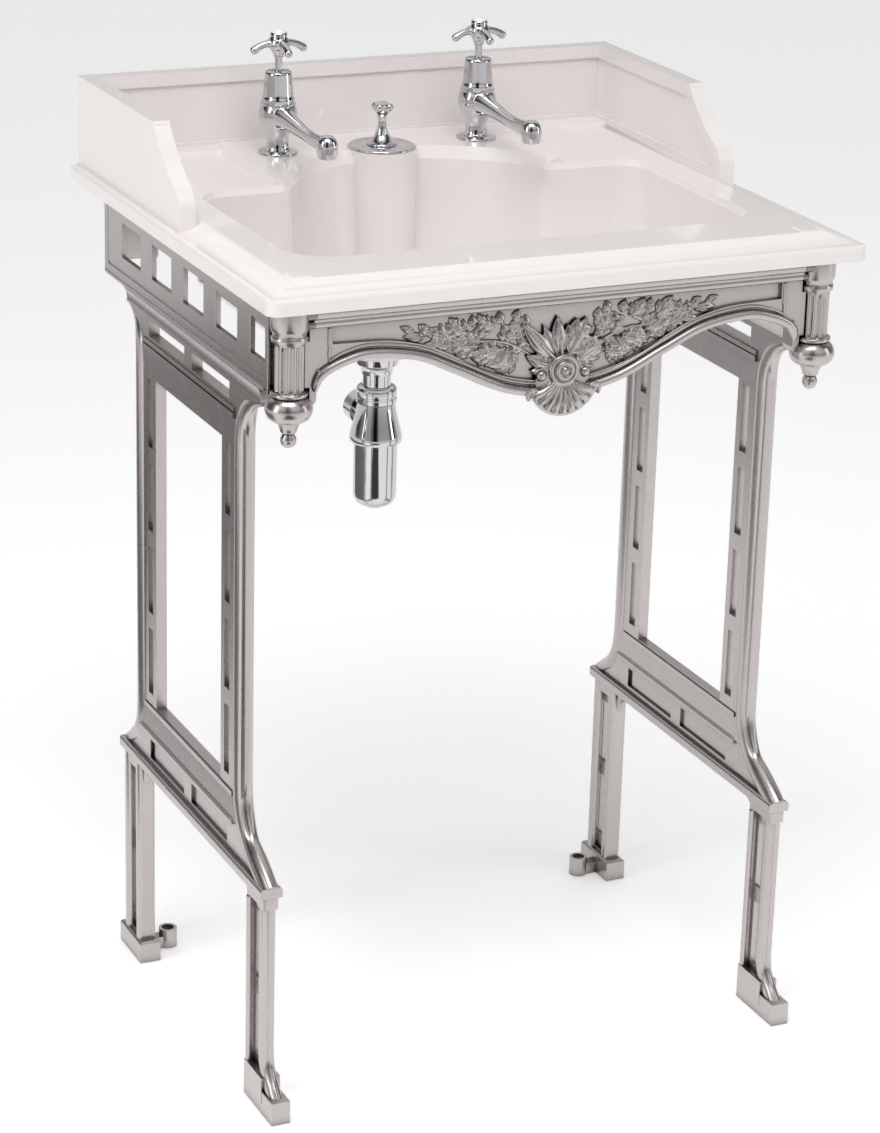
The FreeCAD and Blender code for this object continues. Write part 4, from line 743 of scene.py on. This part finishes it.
for tap, x in TAP_AXES.items():
    flange = turned(tap + "_tap_flange", x, TAP_BACK, [
        (21.4, DECK), (22, DECK + 0.4), (22, DECK + 1.2)] + eased([
            (21.6, DECK + 1.8), (19.5, DECK + 2.7), (17, DECK + 3.2), (15.6, DECK + 3.4)])
                    + [(14.8, DECK + 3.4), (0.1, DECK + 3.4)])
    settle(flange, chrome, "stand", "chrome_plate", tap + "_flange")
    cup = turned(tap + "_cup", x, TAP_BACK, [(14.2, DECK + 2.6)] + eased(
        [(14.2, DECK + 4), (12.6, DECK + 7), (11.8, DECK + 12), (12.0, DECK + 18),
         (14.2, DECK + 24), (18.0, DECK + 31), (20.6, DECK + 38), (21.0, DECK + 44),
         (20.0, DECK + 49), (18.6, DECK + 52)]) + [(18.4, 955.5), (0.1, 955.5)], 48)
    spout = tube(tap + "_spout", eased([
        (x, TAP_BACK, 943, 15), (x, TAP_BACK - 14, 943.5, 13), (x, TAP_BACK - 30, 943, 10.4),
        (x, TAP_BACK - 50, 941.5, 8.6), (x, TAP_BACK - 74, 939.5, 7.3),
        (x, TAP_BACK - 98, 938.4, 7.0), (x, TAP_BACK - 118, 938.6, 8.0),
        (x, TAP_BACK - 131, 939, 9.4)]), 32)
    nozzle = turned(tap + "_nozzle", x, NOZZLE_BACK, [(9.2, 926), (9.8, 926.5)] + eased(
        [(10.2, 929), (11.0, 934), (11.1, 940), (9.6, 945.5), (6.0, 949.6), (1.5, 951)])
                    + [(0.1, 951)], 48)
    body = blended(tap + "_tap_body", [cup, spout, nozzle], 0.75, 5)
    settle(body, chrome, "stand", "chrome_plate", tap + "_body", split=0)
    collar = turned(tap + "_collar", x, TAP_BACK, [
        (18.2, 954.5), (19.2, 955), (19.2, 957), (18.6, 957.4), (17.4, 957.4), (17.2, 960.2),
        (0.1, 960.2)])
    settle(collar, chrome, "stand", "chrome_plate", tap + "_valve")
    cover = turned(tap + "_bell_cover", x, TAP_BACK, [
        (16.6, 960), (17.8, 960.3), (17.8, 961.6)] + eased(
            [(17.4, 962.4), (16.6, 964.4), (16.2, 968), (15.4, 978), (14.6, 988)], 4)
                   + [(14.5, 989.6), (13.9, 990.6), (11.6, 991.6), (5.2, 992), (0.1, 992)])
    settle(cover, chrome, "stand", "chrome_plate", tap + "_cover")
    stem = turned(tap + "_stem", x, TAP_BACK, [(4, 985), (4, 1008), (0.1, 1008)], 40)
    settle(stem, chrome, tap + "_lever", "chrome_plate", tap + "_spindle")
    hub = turned(tap + "_hub", x, TAP_BACK, [(5.2, 1005.6)] + eased(
        [(5.6, 1006), (6.0, 1009), (8.0, 1013), (11.0, 1018), (11.2, 1023), (9.4, 1027),
         (9.0, 1029.5)]) + [(0.1, 1029.5)], 40)
    arms = []
    for k in range(4):
        c, s = cos(k * pi / 2), sin(k * pi / 2)
        path = eased([(4, 1020.5, 4.9), (10, 1021, 4.3), (16, 1020.4, 3.9), (22, 1018.4, 4.0),
                      (27, 1015.6, 4.4)])
        arms.append(tube(tap + "_arm", [(x + r * c, TAP_BACK + r * s, z, w) for r, z, w in path]))
        arms.append(ball(tap + "_tip", x + 28 * c, TAP_BACK + 28 * s, 1014.8, 4.5))
    handle = blended(tap + "_cross_handle", [hub] + arms, 0.5, 4)
    settle(handle, chrome, tap + "_lever", "chrome_plate", tap + "_handle", split=0)
    rim = turned(tap + "_index_rim", x, TAP_BACK, [
        (8.4, 1028.6), (9.2, 1029), (9.2, 1031), (8.2, 1032.4), (7.6, 1032.4), (0.1, 1032.4)])
    settle(rim, chrome, tap + "_lever", "chrome_plate")
    button = turned(tap + "_index_button", x, TAP_BACK, [(7.5, 1031.2), (7.5, 1032.2)] + eased(
        [(7.4, 1032.6), (6.0, 1034.2), (3.4, 1035.5), (1, 1036)], 4) + [(0.1, 1036)])
    settle(button, enamel, tap + "_lever", "white_china", tap + "_index")


# Waste knob: a turned plate on the half-column with a small lobed knob that lifts the plug.
# Chromed brass, like the taps.
WASTE_BACK = 198.0
plate = turned("waste_cover_plate", 0, WASTE_BACK, [
    (36.8, DECK), (37.5, DECK + 0.3), (37.5, DECK + 1.4)] + eased([
        (37.0, DECK + 2.2), (35, DECK + 3.2), (32, DECK + 3.4), (29.5, DECK + 2.4),
        (27, DECK + 2.1), (23, DECK + 2.3)], 4) + [(18, DECK + 3.0), (0.1, DECK + 3.0)])
settle(plate, chrome, "stand", "chrome_plate", "waste_plate")
stalk = turned("waste_knob_stalk", 0, WASTE_BACK, [(16.4, DECK + 3.1), (17, DECK + 3.5)] + eased(
    [(16.4, DECK + 5), (12.6, DECK + 8), (9.2, DECK + 12), (6.6, DECK + 17), (5.0, DECK + 22),
     (4.5, DECK + 26), (4.8, DECK + 31), (6.4, DECK + 36), (9.0, DECK + 40), (10.2, DECK + 43.5),
     (9.0, DECK + 47), (5.0, DECK + 49.6), (1.5, DECK + 50)]) + [(0.1, DECK + 50)], 48)
LOBE_REACH = 8.0
lobes = [ball("waste_lobe", LOBE_REACH * cos(pi / 4 + k * pi / 2),
              WASTE_BACK + LOBE_REACH * sin(pi / 4 + k * pi / 2), 946.5, 4.6) for k in range(4)]
knob = blended("waste_lift_knob", [stalk] + lobes, 0.45, 4)
settle(knob, chrome, "waste_plunger", "chrome_plate", "waste_knob", split=0)


# Bottle trap: chromed brass pipe, collar nut, tapered head and a bottle that unscrews.
flare = turned("waste_flare_nut", 0, WASTE_BACK, [(16.2, 645), (17.8, 645.2)] + eased(
    [(18.0, 647), (18.8, 651), (21.4, 655), (24.0, 657)], 5) + [
        (24.2, 658), (24.2, 666), (0.1, 666)])
settle(flare, chrome, "stand", "chrome_plate", "waste_backnut")
pipe = turned("waste_pipe", 0, WASTE_BACK, [(16, 612), (16, 660), (0.1, 660)])
settle(pipe, chrome, "stand", "chrome_plate", "waste_outlet")
nut = turned("trap_collar_nut", 0, WASTE_BACK, [
    (22.0, 611.6), (23, 612.4), (23, 617), (22.2, 617.8), (22.2, 619.4), (23, 620.2),
    (23, 626.5)] + eased([(22.6, 628), (21, 630), (18.6, 631)], 3) + [
        (16.2, 631.2), (0.1, 631.2)], 72)
settle(nut, chrome, "stand", "chrome_plate", "trap_inlet_nut")
cone = turned("trap_cone", 0, WASTE_BACK, [
    (29.2, 566), (30.0, 567), (30.0, 571.5), (29.2, 575.5), (26.2, 587), (22.8, 601),
    (21.3, 610.8), (20.0, 611.4), (0.1, 611.4)], 72)
boss = tube("trap_outlet_boss", [(0, y, 593, 17) for y in (200, 228, 228.2, 234)], 48)
cone = joined("trap_cone", [cone, boss])
settle(cone, chrome, "stand", "chrome_plate", "trap_head")
bottle = turned("trap_chrome_bottle", 0, WASTE_BACK, [
    (9, 488), (10, 488.2), (10.6, 489.2)] + eased(
        [(11.5, 489.6), (17, 491.6), (21.6, 495), (24.2, 500), (24.8, 506)], 5) + [
            (24.8, 568), (0.1, 568)], 72)
settle(bottle, chrome, "stand", "chrome_plate", "trap_bottle")


# Hidden and small parts keep their own surfaces: nuts and tails in brass, washers and seals in
# rubber, plated pieces in chrome, and the castings in their satin aluminium and china.
finishes = {"chrome_plate": chrome, "brass": brass, "black_rubber": rubber,
            "white_china": enamel, "satin_aluminium": satin, "glazed_china": china}
slots = {part["node"]: part["material_slot"] for part in frame["record"]["subparts"]}
for name, solid in frame["nodes"].items():
    solid.data.materials.clear()
    solid.data.materials.append(finishes[slots[name]])

low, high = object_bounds()
